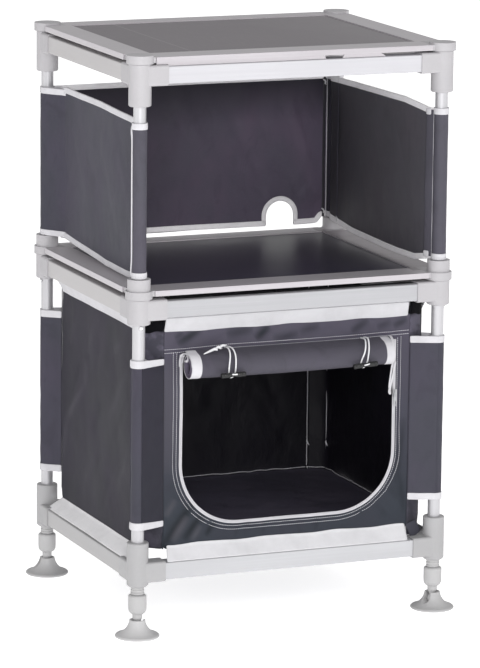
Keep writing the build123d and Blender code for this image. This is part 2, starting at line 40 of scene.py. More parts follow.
# ------------------------------------------------------------------ camera
YAW, PITCH, ROLL = 0.38939133, 0.19872690, 0.00999902
FOCAL_PX = 4243.13
fwd = Vector((math.sin(YAW) * math.cos(PITCH), math.cos(YAW) * math.cos(PITCH), -math.sin(PITCH)))
right0 = Vector((math.cos(YAW), -math.sin(YAW), 0))
up0 = right0.cross(fwd)
cam_right = math.cos(ROLL) * right0 + math.sin(ROLL) * up0
cam_up = -math.sin(ROLL) * right0 + math.cos(ROLL) * up0
cam_data = bpy.data.cameras.new("camera")
cam = bpy.data.objects.new("camera", cam_data)
bpy.context.collection.objects.link(cam)
m = Matrix((cam_right, cam_up, -fwd)).transposed().to_4x4()
m.translation = Vector((-2.814144, -6.861380, 1.964355))
cam.matrix_world = m
cam_data.sensor_width = 36.0
cam_data.lens = 36.0 * FOCAL_PX / 668.0
cam_data.clip_start, cam_data.clip_end = 0.05, 200.0
bpy.context.scene.camera = cam


# ------------------------------------------------------------------ material helpers
class Mat:
    """A node material with one Principled shader and a few short helpers."""

    def __init__(self, name, roughness=0.5, metallic=0.0, **constants):
        self.m = bpy.data.materials.new(name)
        self.m.use_nodes = True
        self.t = self.m.node_tree
        self.t.nodes.clear()
        out = self.t.nodes.new("ShaderNodeOutputMaterial")
        self.b = self.t.nodes.new("ShaderNodeBsdfPrincipled")
        self.t.links.new(self.b.outputs[0], out.inputs[0])
        self.b.inputs["Roughness"].default_value = roughness
        self.b.inputs["Metallic"].default_value = metallic
        for k, v in constants.items():
            self.b.inputs[k.replace("_", " ")].default_value = v
        self.coord = self.t.nodes.new("ShaderNodeTexCoord").outputs["Object"]

    def stretched(self, x=1.0, y=1.0, z=1.0, turn=(0, 0, 0)):
        n = self.t.nodes.new("ShaderNodeMapping")
        self.t.links.new(self.coord, n.inputs[0])
        n.inputs["Scale"].default_value = (x, y, z)
        n.inputs["Rotation"].default_value = turn
        return n.outputs[0]

    def noise(self, scale, detail=3.0, rough=0.5, vector=None, distort=0.0):
        n = self.t.nodes.new("ShaderNodeTexNoise")
        self.t.links.new(vector or self.coord, n.inputs["Vector"])
        n.inputs["Scale"].default_value = scale
        n.inputs["Detail"].default_value = detail
        n.inputs["Roughness"].default_value = rough
        n.inputs["Distortion"].default_value = distort
        return n.outputs["Fac"]

    def cells(self, scale, vector=None):
        n = self.t.nodes.new("ShaderNodeTexVoronoi")
        self.t.links.new(vector or self.coord, n.inputs["Vector"])
        n.inputs["Scale"].default_value = scale
        return n.outputs["Distance"]

    def ramp(self, fac, stops):
        n = self.t.nodes.new("ShaderNodeValToRGB")
        self.t.links.new(fac, n.inputs[0])
        e = n.color_ramp.elements
        while len(e) < len(stops):
            e.new(0.5)
        for el, (pos, col) in zip(e, stops):
            el.position = pos
            el.color = (*col, 1.0) if hasattr(col, "__len__") else (col, col, col, 1.0)
        return n.outputs[0]

    def mix(self, fac, a, b, kind="MIX"):
        n = self.t.nodes.new("ShaderNodeMix")
        n.data_type = "RGBA"
        n.blend_type = kind
        for sock, v in ((n.inputs[0], fac), (n.inputs[6], a), (n.inputs[7], b)):
            if hasattr(v, "links"):
                self.t.links.new(v, sock)
            elif hasattr(v, "__len__"):
                sock.default_value = (*v, 1.0)
            else:
                sock.default_value = v
        return n.outputs[2]

    def calc(self, op, a, b=0.0, c=None):
        n = self.t.nodes.new("ShaderNodeMath")
        n.operation = op
        for sock, v in zip(n.inputs, (a, b, c)):
            if v is None:
                continue
            if hasattr(v, "links"):
                self.t.links.new(v, sock)
            else:
                sock.default_value = v
        return n.outputs[0]

    def streak(self, h, z, p, q, width):
        """Mask of a soft line from p to q in the plane (h, z), in metres."""
        dx, dz = q[0] - p[0], q[1] - p[1]
        n = math.hypot(dx, dz)
        ux, uz = dx / n, dz / n
        u = self.calc("MULTIPLY_ADD", z, uz / n, self.calc("MULTIPLY_ADD", h, ux / n, -(p[0] * ux + p[1] * uz) / n))
        v = self.calc("MULTIPLY_ADD", z, ux / width, self.calc("MULTIPLY_ADD", h, -uz / width, (p[0] * uz - p[1] * ux) / width))
        ends = self.calc("MAXIMUM", self.calc("MULTIPLY", self.calc("MULTIPLY", u, 4.0), self.calc("SUBTRACT", 1.0, u)), 0.0)
        return self.calc("MULTIPLY", self.calc("POWER", 0.3679, self.calc("MULTIPLY", v, v)), self.calc("SQRT", ends))

    def axes(self):
        n = self.t.nodes.new("ShaderNodeSeparateXYZ")
        self.t.links.new(self.coord, n.inputs[0])
        return n.outputs

    def weave(self, period, flat=False, slant=0.7):
        """Height of a plain weave, about -1 to 1."""
        x, y, z = self.axes()
        k = 2 * math.pi / period
        if flat:
            u, v = self.calc("MULTIPLY", x, k), self.calc("MULTIPLY", y, k)
        else:
            u = self.calc("MULTIPLY", self.calc("MULTIPLY_ADD", y, slant, x), k)
            v = self.calc("MULTIPLY", z, k)
        return self.calc("MULTIPLY", self.calc("SINE", u), self.calc("SINE", v))

    def colour(self, out):
        self.t.links.new(out, self.b.inputs["Base Color"])

    def rough(self, fac, low, high):
        n = self.t.nodes.new("ShaderNodeMapRange")
        self.t.links.new(fac, n.inputs[0])
        n.inputs["From Min"].default_value = 0.3
        n.inputs["From Max"].default_value = 0.7
        n.inputs["To Min"].default_value = low
        n.inputs["To Max"].default_value = high
        self.t.links.new(n.outputs[0], self.b.inputs["Roughness"])

    def bumps(self, *layers):
        """Each layer is (height, strength, distance in metres)."""
        last = None
        for height, strength, distance in layers:
            n = self.t.nodes.new("ShaderNodeBump")
            n.inputs["Strength"].default_value = strength
            n.inputs["Distance"].default_value = distance
            self.t.links.new(height, n.inputs["Height"])
            if last is not None:
                self.t.links.new(last, n.inputs["Normal"])
            last = n.outputs[0]
        self.t.links.new(last, self.b.inputs["Normal"])


def tone(c, k):
    return tuple(min(1.0, x * k) for x in c)


def plastic(name, base, rough=(0.42, 0.56), grain=1500.0):
    a = Mat(name, Specular_IOR_Level=0.45)
    blotch = a.noise(14.0, 4.0)
    fine = a.noise(220.0, 2.0)
    col = a.mix(a.ramp(blotch, [(0.35, 0.0), (0.65, 1.0)]), tone(base, 0.965), tone(base, 1.02))
    col = a.mix(a.ramp(fine, [(0.40, 0.0), (0.75, 0.10)]), col, tone(base, 0.80))
    a.colour(col)
    a.rough(a.noise(60.0, 3.0), *rough)
    a.bumps((a.noise(grain, 2.0), 0.18, 0.00012), (a.noise(36.0, 3.0), 0.10, 0.0008))
    return a.m


def aluminium(name, base, along, metallic=0.75, rough=(0.30, 0.42), shaded_top=None):
    """Satin anodised extrusion with faint draw lines along one axis."""
    a = Mat(name, metallic=metallic)
    s = [260.0, 260.0, 260.0]
    s["xyz".index(along)] = 2.2
    lines = a.noise(1.0, 4.0, 0.6, a.stretched(*s))
    s2 = [1800.0, 1800.0, 1800.0]
    s2["xyz".index(along)] = 9.0
    hair = a.noise(1.0, 2.0, 0.5, a.stretched(*s2))
    cloud = a.noise(7.0, 3.0)
    col = a.mix(a.ramp(lines, [(0.35, 0.0), (0.65, 1.0)]), tone(base, 0.95), tone(base, 1.03))
    col = a.mix(a.ramp(cloud, [(0.4, 0.0), (0.7, 0.5)]), col, tone(base, 0.92))
    if shaded_top:
        # painted shade: a top face from height z0, behind y0 and right of x0, is painted darker, as if in the shade of
        # what lies over it
        x, y, z = a.axes()
        top = a.calc("MULTIPLY", a.calc("GREATER_THAN", z, shaded_top[0]), a.calc("GREATER_THAN", y, shaded_top[1]))
        col = a.mix(a.calc("MULTIPLY", top, a.calc("GREATER_THAN", x, shaded_top[2])), col, shaded_top[3])
    a.colour(col)
    a.rough(lines, *rough)
    a.bumps((hair, 0.12, 0.00006), (lines, 0.06, 0.0002))
    return a.m


def fabric(name, base, second, third, period=0.0011, rough=(0.55, 0.72), flat=False, sheen=0.04, crease=0.16, spec=0.22, light_by_height=None, worn=None, corner_light_and_shade=False):
    """Coated plain-weave cloth: weave, slubs, two hues that drift over the panel, soft creases with painted shade,
    optional painted light and shade.
    """
    a = Mat(name, Specular_IOR_Level=spec, Sheen_Weight=sheen, Sheen_Roughness=0.45)
    drift = a.noise(6.5, 3.0, 0.5, distort=0.6)
    drift2 = a.noise(11.0, 3.0, 0.6, a.stretched(1.0, 1.0, 0.6, (0.4, 0.2, 0.3)))
    slub = a.noise(1.0, 2.0, 0.5, a.stretched(160.0, 160.0, 900.0))
    weave = a.weave(period, flat)
    col = a.mix(a.ramp(drift, [(0.38, 0.0), (0.62, 1.0)]), base, second)
    col = a.mix(a.ramp(drift2, [(0.45, 0.0), (0.68, 0.75)]), col, third)
    col = a.mix(a.ramp(slub, [(0.52, 0.0), (0.72, 0.22)]), col, tone(base, 1.35))
    col = a.mix(a.ramp(weave, [(0.0, 0.30), (0.55, 0.0)]), col, tone(base, 0.6))
    # painted shade of short soft creases, a little darker than the cloth round them
    crease_shade = a.noise(24.0, 3.0, 0.6, a.stretched(1.0, 1.0, 0.5, (0.9, 0.1, 0.6)), distort=1.4)
    col = a.mix(a.ramp(crease_shade, [(0.54, 0.0), (0.66, 0.30)]), col, tone(base, 0.60))
    if light_by_height:
        # painted light and shade by height: the cloth turns to the given colour above the given heights
        x, y, z = a.axes()
        col = a.mix(a.ramp(z, [(light_by_height[0], 0.0), (light_by_height[1], 1.0)]), col, light_by_height[2])
    if worn:
        # painted light and shade along given lines: painted shade in creases and in wide shaded bands, painted
        # highlights on fold ridges
        x, y, z = a.axes()
        for p, q, width, strength, to in worn[1]:
            mask = a.streak(x if worn[0] == "x" else y, z, (p[0] / 1000.0, p[1] / 1000.0), (q[0] / 1000.0, q[1] / 1000.0), width * 0.00135)
            col = a.mix(a.calc("MULTIPLY", mask, strength), col, to)
    if corner_light_and_shade:
        # painted shade: the top of the front corners, under the middle rail, is painted black
        x, y, z = a.axes()
        mask = a.calc("MULTIPLY", a.ramp(z, [(0.526, 0.0), (0.535, 1.0)]), a.ramp(a.calc("ADD", y, 0.5), [(0.278, 1.0), (0.292, 0.0)]))
        # painted light: the slanted front corners are painted lighter than the walls, more so higher up
        front = a.calc("MULTIPLY", a.ramp(z, [(0.20, 0.35), (0.42, 1.0)]), a.ramp(a.calc("ADD", y, 0.5), [(0.296, 1.0), (0.304, 0.0)]))
        col = a.mix(front, col, a.mix(a.ramp(a.noise(38.0, 3.0, 0.6), [(0.46, 0.0), (0.60, 1.0)]), (0.098, 0.091, 0.122), (0.052, 0.050, 0.066)))
        col = a.mix(mask, col, (0.005, 0.005, 0.007))
    a.colour(col)
    a.rough(drift2, *rough)
    soft = a.noise(16.0, 4.0, 0.55, a.stretched(1.0, 1.0, 0.55, (0.7, 0.5, 0.2)), distort=0.4)
    a.bumps((soft, crease, 0.006), (a.noise(55.0, 3.0), 0.22, 0.0012), (weave, 0.30, 0.00018))
    return a.m


def tape(name, base, rib=0.0016, rough=(0.62, 0.78), glow=0.0):
    """Woven binding or webbing with fine ribs and slightly soiled patches."""
    # thin ribbon lets some light through from behind
    a = Mat(name, Specular_IOR_Level=0.3, Sheen_Weight=0.10, Subsurface_Weight=glow, Subsurface_Scale=0.006, Subsurface_Radius=(1.0, 1.0, 1.0))
    weave = a.weave(rib)
    worn = a.noise(24.0, 4.0, 0.6)
    col = a.mix(a.ramp(worn, [(0.40, 0.0), (0.70, 1.0)]), tone(base, 1.02), tone(base, 0.90))
    col = a.mix(a.ramp(weave, [(0.0, 0.35), (0.6, 0.0)]), col, tone(base, 0.72))
    a.colour(col)
    a.rough(worn, *rough)
    a.bumps((a.noise(60.0, 3.0), 0.25, 0.0010), (weave, 0.35, 0.00022))
    return a.m


# painted shade and painted highlight colours for the fold lines below
FOLD_SHADE, FOLD_HIGHLIGHT = (0.0085, 0.0115, 0.0165), (0.072, 0.068, 0.082)
FOLD_LIGHT_FRONT = [((-172, 232), (-236, 148), 6.2, 1.0, FOLD_SHADE), ((-158, 206), (-192, 162), 4.6, 1.0, FOLD_SHADE), ((-184, 204), (-214, 160), 5.0, 0.62, FOLD_HIGHLIGHT), ((-136, 190), (-152, 166), 3.6, 0.9, FOLD_SHADE),
              ((-160, 186), (-178, 160), 4.0, 0.5, FOLD_HIGHLIGHT), ((-208, 236), (-228, 206), 5.0, 0.5, FOLD_HIGHLIGHT), ((-206, 508), (-164, 534), 5.5, 0.85, FOLD_SHADE), ((-212, 520), (-196, 530), 4.0, 0.5, FOLD_SHADE), ((-190, 505), (-150, 512), 4.0, 0.25, FOLD_HIGHLIGHT), ((-62, 509), (-36, 531), 6.0, 0.9, FOLD_SHADE), ((-116, 520), (-66, 527), 7.0, 0.6, FOLD_SHADE), ((-30, 508), (20, 514), 6.0, 0.5, FOLD_SHADE),
              ((20, 515), (60, 526), 6.0, 0.5, FOLD_SHADE), ((118, 510), (152, 529), 6.0, 0.6, FOLD_SHADE), ((168, 514), (196, 522), 5.0, 0.45, FOLD_SHADE), ((198, 514), (226, 526), 5.0, 0.6, FOLD_SHADE), ((-90, 186), (-96, 160), 3.0, 0.3, FOLD_SHADE), ((-40, 184), (-44, 160), 3.0, 0.35, FOLD_SHADE),
              ((60, 186), (56, 160), 3.0, 0.25, FOLD_SHADE), ((224, 350), (206, 230), 4.5, 0.55, FOLD_SHADE), ((214, 250), (227, 176), 4.5, 0.5, FOLD_SHADE), ((-224, 480), (-221, 280), 16.0, 0.40, FOLD_HIGHLIGHT)]
FOLD_LIGHT_LEFT = [((70, 430), (74, 380), 6.0, 0.35, FOLD_HIGHLIGHT), ((72, 388), (168, 300), 6.0, 0.40, FOLD_HIGHLIGHT), ((164, 306), (190, 214), 7.0, 0.35, FOLD_HIGHLIGHT), ((-138, 450), (-40, 336), 7.0, 0.30, FOLD_HIGHLIGHT), ((-116, 500), (-70, 470), 7.0, 0.25, FOLD_HIGHLIGHT),
             ((30, 505), (60, 440), 6.0, 0.30, FOLD_HIGHLIGHT), ((-150, 300), (-96, 226), 8.0, 0.22, FOLD_HIGHLIGHT), ((120, 500), (150, 440), 7.0, 0.25, FOLD_HIGHLIGHT), ((-20, 380), (30, 300), 9.0, 0.25, FOLD_SHADE), ((100, 420), (150, 350), 6.0, 0.25, FOLD_SHADE),
             ((-60, 520), (-20, 430), 9.0, 0.22, FOLD_SHADE), ((10, 280), (70, 200), 9.0, 0.20, FOLD_HIGHLIGHT)]
SLATE = (0.0555, 0.0525, 0.0735)
M = {}
M["plastic"] = plastic("grey_plastic", (0.440, 0.428, 0.445))
# painted shade: a darker copy of the grey plastic for the bottom connectors
M["plastic_low"] = plastic("grey_plastic_low", (0.385, 0.381, 0.389))
M["foot"] = plastic("foot_plastic", (0.545, 0.54, 0.545), rough=(0.45, 0.6))
# painted shade: a darker copy of the foot plastic for all feet but the front left pad
M["foot_worn"] = plastic("foot_plastic_shaded", (0.452, 0.448, 0.452), rough=(0.45, 0.6))
# copies of one anodised aluminium in tones for each height and side, painted light and shade: the side rails darker
# than the front rails
M["rail_top"] = aluminium("rail_along_x_top", (0.548, 0.543, 0.572), "x", metallic=0.12, rough=(0.42, 0.52))
# painted shade: the top face of the middle rails is painted near black, the shade in the gap under the shelf
M["rail_mid"] = aluminium("rail_along_x_middle", (0.432, 0.432, 0.452), "x", metallic=0.12, rough=(0.42, 0.52), shaded_top=(0.5877, -0.2335, -1.0, (0.02, 0.02, 0.023)))
M["rail_y_low"] = aluminium("rail_along_y_bottom", (0.412, 0.405, 0.41), "y", metallic=0.2, rough=(0.38, 0.5))
M["rail_low"] = aluminium("rail_along_x_bottom", (0.508, 0.510, 0.530), "x", metallic=0.12, rough=(0.42, 0.52))
M["rail_y"] = aluminium("rail_along_y", (0.475, 0.46, 0.465), "y", metallic=0.2, rough=(0.38, 0.5))
M["tube"] = aluminium("post_tube", (0.525, 0.52, 0.54), "z", metallic=0.4, rough=(0.30, 0.40))
M["edge"] = aluminium("plate_profile", (0.51, 0.485, 0.51), "x", metallic=0.3)
M["slate"] = fabric("slate_cloth", SLATE, (0.0500, 0.0505, 0.0660), (0.0685, 0.0605, 0.0865))
# painted light and shade at the front corners, and painted fold highlights and shade on the side walls
M["slate_low"] = fabric("slate_cloth_low", (0.0380, 0.0355, 0.0480), (0.0360, 0.0355, 0.0435), (0.0460, 0.0405, 0.0565), spec=0.08, corner_light_and_shade=True, worn=("y", FOLD_LIGHT_LEFT))
# painted light: the lower front is painted lighter towards the top; it also has painted fold shade and highlights
M["slate_front"] = fabric("slate_cloth_front", (0.0300, 0.0335, 0.0460), (0.0268, 0.0328, 0.0442), (0.0352, 0.0350, 0.0480), light_by_height=(0.22, 0.52, (0.066, 0.060, 0.084)), worn=("x", FOLD_LIGHT_FRONT))
M["slate_sleeve"] = fabric("slate_cloth_sleeve", (0.0835, 0.078, 0.100), (0.0765, 0.0745, 0.093), (0.091, 0.0835, 0.108))
M["slate_roll"] = fabric("slate_cloth_roll", (0.0735, 0.0690, 0.0890), (0.0640, 0.0605, 0.0760), (0.0830, 0.0750, 0.1010))
# painted shade: a darker copy of the slate cloth
M["slate_dark"] = fabric("slate_cloth_strip_shaded", (0.024, 0.022, 0.034), (0.022, 0.022, 0.032), (0.030, 0.027, 0.042))
# painted light: lighter copies of the slate cloth for the inner faces
M["slate_in"] = fabric("slate_cloth_inside", (0.142, 0.118, 0.172), (0.124, 0.112, 0.156), (0.165, 0.126, 0.184), rough=(0.45, 0.6))
# painted shade: a dark band towards the back corner of the right wall, on the inner face
M["slate_in_side"] = fabric("slate_cloth_inside_wall", (0.088, 0.082, 0.098), (0.083, 0.081, 0.095), (0.096, 0.085, 0.102), rough=(0.45, 0.6), worn=("y", [((215, 600), (215, 930), 95.0, 0.8, (0.014, 0.013, 0.018))]))
# painted shadow of the top plate along the top of the back wall, and a wide painted shaded band on its left
M["slate_back"] = fabric("slate_cloth_back_wall", (0.113, 0.092, 0.136), (0.100, 0.089, 0.124), (0.130, 0.098, 0.146), rough=(0.45, 0.6), light_by_height=(0.812, 0.888, (0.022, 0.020, 0.029)), worn=("x", [((-90, 590), (-90, 1010), 110.0, 0.42, (0.030, 0.026, 0.038))]))
M["lining"] = fabric("black_lining", (0.0090, 0.0078, 0.0130), (0.0118, 0.0103, 0.0160), (0.0066, 0.0062, 0.0100), rough=(0.42, 0.58), sheen=0.0, crease=0.55, spec=0.28)
# painted shade: a near black cloth for sheets over the shaded tops of the front corners
M["tuck"] = fabric("black_tucked_cloth", (0.0040, 0.0038, 0.0052), (0.005, 0.0048, 0.0065), (0.0035, 0.0034, 0.0046), rough=(0.6, 0.75), sheen=0.0, spec=0.04)
# painted light: a lighter copy of the black lining for the compartment floor
M["lining_floor"] = fabric("black_lining_floor", (0.080, 0.072, 0.104), (0.070, 0.065, 0.095), (0.090, 0.078, 0.112), rough=(0.5, 0.65), flat=True, sheen=0.0, crease=0.4, spec=0.45)
# lit and shaded copies of the pale binding and of the white band, painted light and shade: the inside binding and the
# low left band lighter, the high bands darker
M["binding"] = tape("pale_binding", (0.66, 0.65, 0.68))
M["band"] = tape("white_band", (0.735, 0.73, 0.755), rib=0.0022)
M["binding_in"] = tape("pale_binding_inside", (0.93, 0.91, 0.94), glow=0.55)
M["band_high"] = tape("white_band_high", (0.60, 0.595, 0.62), rib=0.0022)
M["band_left_high"] = tape("white_band_left_high", (0.66, 0.65, 0.68), rib=0.0022)
M["thread"] = tape("stitch_thread", (0.84, 0.83, 0.88), rib=0.0009)
M["seam_pale"] = tape("corner_seam", (0.60, 0.59, 0.63), rib=0.0012)
M["band_left"] = tape("white_band_left", (0.95, 0.94, 0.96), rib=0.0022)
M["seam"] = tape("inside_seam", (0.085, 0.085, 0.09), rib=0.0012)
M["zip"] = tape("zip_tape", (0.65, 0.64, 0.67), rib=0.0010)
M["cord"] = tape("elastic_cord", (0.82, 0.82, 0.84), rib=0.0012)
M["toggle"] = plastic("toggle_plastic", (0.012, 0.012, 0.013), rough=(0.32, 0.45))
M["pull"] = aluminium("zip_metal", (0.46, 0.46, 0.48), "z", metallic=0.55, rough=(0.36, 0.46))
M["button"] = aluminium("button_steel", (0.74, 0.74, 0.75), "z", metallic=0.95, rough=(0.16, 0.24))
M["spring"] = aluminium("spring_steel", (0.55, 0.55, 0.57), "z", metallic=1.0)


def laminate_shelf():
    a = Mat("shelf_laminate", roughness=0.3, Specular_IOR_Level=0.38, Coat_Weight=0.09, Coat_Roughness=0.30)
    cloud = a.noise(5.0, 4.0, 0.55)
    grain = a.noise(1.0, 3.0, 0.6, a.stretched(420.0, 60.0, 60.0))
    col = a.mix(a.ramp(cloud, [(0.35, 0.0), (0.65, 1.0)]), (0.0165, 0.0137, 0.0300), (0.0225, 0.0187, 0.0385))
    col = a.mix(a.ramp(grain, [(0.55, 0.0), (0.8, 0.25)]), col, (0.05, 0.046, 0.055))
    # lighter along the front
    x, y, z = a.axes()
    col = a.mix(a.ramp(a.calc("ADD", y, 0.5), [(0.30, 1.0), (0.44, 0.0)]), col, (0.031, 0.027, 0.050))
    a.colour(col)
    a.rough(a.noise(3.0, 2.0), 0.30, 0.36)
    a.bumps((a.noise(500.0, 2.0), 0.08, 0.00005))
    return a.m


def laminate_top():
    a = Mat("top_laminate", Specular_IOR_Level=0.5)
    cloud = a.noise(3.2, 3.0, 0.5)
    speck = a.noise(700.0, 2.0, 0.7)
    grain = a.noise(1.0, 3.0, 0.6, a.stretched(380.0, 24.0, 24.0))
    x, y, z = a.axes()
    col = a.mix(a.ramp(cloud, [(0.35, 0.0), (0.7, 1.0)]), (0.140, 0.125, 0.140), (0.185, 0.168, 0.183))
    col = a.mix(a.ramp(grain, [(0.5, 0.0), (0.75, 0.30)]), col, (0.235, 0.215, 0.235))
    col = a.mix(a.ramp(speck, [(0.58, 0.0), (0.72, 0.5)]), col, (0.09, 0.083, 0.09))
    # painted highlight: lighter towards the right edge
    col = a.mix(a.ramp(a.calc("ADD", x, 0.5), [(0.56, 0.0), (0.76, 1.0)]), col, a.mix(a.ramp(grain, [(0.5, 0.0), (0.75, 0.6)]), (0.196, 0.180, 0.194), (0.245, 0.225, 0.243)))
    # a faint light line from front to back, left of the middle
    line = a.calc("COMPARE", x, -0.165, 0.0011)
    col = a.mix(a.calc("MULTIPLY", line, 0.35), col, (0.42, 0.40, 0.42))
    a.colour(col)
    a.rough(cloud, 0.38, 0.50)
    a.bumps((speck, 0.20, 0.00010), (grain, 0.08, 0.0002))
    return a.m


M["shelf"] = laminate_shelf()
M["top"] = laminate_top()

SHELF_TOP = max(v.co.z for v in NODE["shelf_edges"].data.vertices)
# painted shade: the top face of the right part of the shelf profile is painted darker
M["edge_shelf"] = aluminium("shelf_profile", (0.51, 0.485, 0.51), "x", metallic=0.2, shaded_top=(SHELF_TOP - 0.0005, -0.215, 0.24, (0.27, 0.245, 0.265)))

for name, ob in NODE.items():
    if "bottom" in name and "connectors" in name:
        mat = M["plastic_low"]
    elif "connectors" in name or name in ("shelf_corners", "top_corners"):
        mat = M["plastic"]
    elif name.startswith("foot_"):
        mat = M["foot"] if name == "foot_pad_front_left" else M["foot_worn"]
    elif name.endswith("side_rails"):
        mat = M["rail_y_low"] if name.startswith("bottom") else M["rail_y"]
    elif "_rail_" in name:
        mat = M["rail_top"] if name.startswith("top") else M["rail_mid"] if name.startswith("middle") else M["rail_low"]
    elif name in ("shelf_edges", "top_edges"):
        mat = M["edge"] if name == "top_edges" else M["edge_shelf"]
    elif "_post_" in name:
        mat = M["tube"]
    elif name == "shelf_board":
        mat = M["shelf"]
    elif name == "top_board":
        mat = M["top"]
    elif name.startswith("snap_button"):
        mat = M["button"]
    elif name == "button_springs":
        mat = M["spring"]
    elif name in ("zip_slider", "zip_pull"):
        mat = M["pull"]
    else:
        mat = M["slate"]
    for s in ob.material_slots:
        s.material = mat


# ------------------------------------------------------------------ mesh helpers (millimetres in, metres out)
def add(name, verts, faces, mats, body="root", index=None):
    me = bpy.data.meshes.new(name)
    me.from_pydata([(x * MM, y * MM, z * MM) for x, y, z in verts], [], [tuple(int(i) for i in f) for f in faces])
    for mt in mats if isinstance(mats, (list, tuple)) else [mats]:
        me.materials.append(mt)
    if index is not None:
        me.polygons.foreach_set("material_index", np.asarray(index, np.int32))
    me.polygons.foreach_set("use_smooth", np.ones(len(me.polygons), bool))
    me.update()
    ob = bpy.data.objects.new(name, me)
    bpy.context.collection.objects.link(ob)
    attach(ob, body)
    return ob


def thicken(ob, thick, offset=0.0, inner=0):
    s = ob.modifiers.new("thickness", "SOLIDIFY")
    s.thickness = thick * MM
    s.offset = offset
    s.use_even_offset = False
    s.material_offset = inner
    s.material_offset_rim = 0
    return ob


def soften(ob, levels=1):
    s = ob.modifiers.new("smooth", "SUBSURF")
    s.levels = s.render_levels = levels
    return ob


def grid_faces(nu, nv, flip=False, keep=None):
    out = []
    for i in range(nu - 1):
        for j in range(nv - 1):
            if keep is not None and not keep[i, j]:
                continue
            f = (i * nv + j, (i + 1) * nv + j, (i + 1) * nv + j + 1, i * nv + j + 1)
            out.append(f[::-1] if flip else f)
    return out


def unit(v):
    v = np.asarray(v, float)
    return v / np.maximum(np.linalg.norm(v, axis=-1, keepdims=True), 1e-9)


def tangents(pts):
    pts = np.asarray(pts, float)
    return unit(np.gradient(pts, axis=0))


def resample(pts, step):
    pts = np.asarray(pts, float)
    d = np.r_[0, np.cumsum(np.linalg.norm(np.diff(pts, axis=0), axis=1))]
    n = max(2, int(round(d[-1] / step)) + 1)
    t = np.linspace(0, d[-1], n)
    return np.stack([np.interp(t, d, pts[:, k]) for k in range(pts.shape[1])], 1)


def strip(name, pts, normals, width, thick, mats, body="root", bulge=0.0):
    """A flat tape with soft edges along a line, lying square to the given normals."""
    pts, normals = np.asarray(pts, float), unit(normals)
    t = tangents(pts)
    across = unit(np.cross(t, normals))
    w = np.broadcast_to(np.asarray(width, float), (len(pts),)) / 2
    h = thick / 2
    shape = [(-1, 0), (-0.96, 0.62), (-0.80, 1.0), (-0.4, 1.0 + bulge), (0, 1.0 + bulge), (0.4, 1.0 + bulge), (0.80, 1.0), (0.96, 0.62),
             (1, 0), (0.96, -0.62), (0.80, -1.0), (0, -1.0), (-0.80, -1.0), (-0.96, -0.62)]
    verts, n = [], len(shape)
    for p, a, nn, ww in zip(pts, across, normals, w):
        for x, y in shape:
            verts.append(p + a * (x * ww) + nn * (y * h))
    faces = [(i * n + j, i * n + (j + 1) % n, (i + 1) * n + (j + 1) % n, (i + 1) * n + j) for i in range(len(pts) - 1) for j in range(n)]
    faces.append(tuple(range(n))[::-1])
    faces.append(tuple((len(pts) - 1) * n + j for j in range(n)))
    return add(name, verts, [f[::-1] for f in faces], mats, body)


def tube(name, pts, r, mats, body="root", sides=8):
    pts = np.asarray(pts, float)
    t = tangents(pts)
    ref = np.array([0.31, 0.17, 0.93])
    a = unit(np.cross(t, ref))
    b = np.cross(t, a)
    rr = np.broadcast_to(np.asarray(r, float), (len(pts),))
    verts = []
    for p, x, y, q in zip(pts, a, b, rr):
        for k in range(sides):
            g = 2 * math.pi * k / sides
            verts.append(p + (x * math.cos(g) + y * math.sin(g)) * q)
    faces = [(i * sides + j, i * sides + (j + 1) % sides, (i + 1) * sides + (j + 1) % sides, (i + 1) * sides + j)
             for i in range(len(pts) - 1) for j in range(sides)]
    faces.append(tuple(range(sides))[::-1])
    faces.append(tuple((len(pts) - 1) * sides + j for j in range(sides)))
    return add(name, verts, faces, mats, body)


def stitches(name, lines, body="root", pitch=3.8, length=2.7, width=0.75, height=0.42, mats=None):
    """Rows of single stitches. Each line is (points, normals)."""
    verts, faces = [], []
    for pts, normals in lines:
        pts = np.asarray(pts, float)
        both = resample(np.hstack([pts, np.asarray(normals, float)]), pitch)
        p, n = both[:, :3], unit(both[:, 3:])
        t = tangents(p)
        s = unit(np.cross(n, t))
        for q, nn, tt, ss in zip(p[:-1], n, t, s):
            c = q + tt * pitch / 2
            k = len(verts)
            for along, side, high in ((-0.5, 0, -0.1), (-0.28, -0.5, 0), (-0.28, 0, 1), (-0.28, 0.5, 0),
                                      (0.28, -0.5, 0), (0.28, 0, 1), (0.28, 0.5, 0), (0.5, 0, -0.1)):
                verts.append(c + tt * along * length + ss * side * width + nn * high * height)
            faces += [(k, k + 2, k + 1), (k, k + 3, k + 2), (k, k + 1, k + 3), (k + 1, k + 2, k + 5, k + 4),
                      (k + 2, k + 3, k + 6, k + 5), (k + 1, k + 4, k + 6, k + 3), (k + 7, k + 4, k + 5), (k + 7, k + 5, k + 6), (k + 7, k + 6, k + 4)]
    return add(name, verts, faces, mats or M["thread"], body)


def wob(x, y, z, scale, seed=0.0):
    """Smooth repeatable noise, -1 to 1, feature size in mm."""
    return noise.noise(Vector((x / scale + seed, y / scale - seed * 0.7, z / scale + seed * 1.3)))


def ridge(a, b, p, q, width, amp, ends=0.25):
    """A fold along the line p-q: a soft ridge that fades at both ends."""
    dx, dz = q[0] - p[0], q[1] - p[1]
    t = ((a - p[0]) * dx + (b - p[1]) * dz) / (dx * dx + dz * dz)
    tc = min(1.0, max(0.0, t))
    d = math.hypot(a - p[0] - tc * dx, b - p[1] - tc * dz)
    if d > 3.2 * width:
        return 0.0
    fade = min(1.0, (tc + 0.02) / ends, (1.02 - tc) / ends)
    return amp * math.exp(-(d / width) ** 2) * max(0.0, fade)


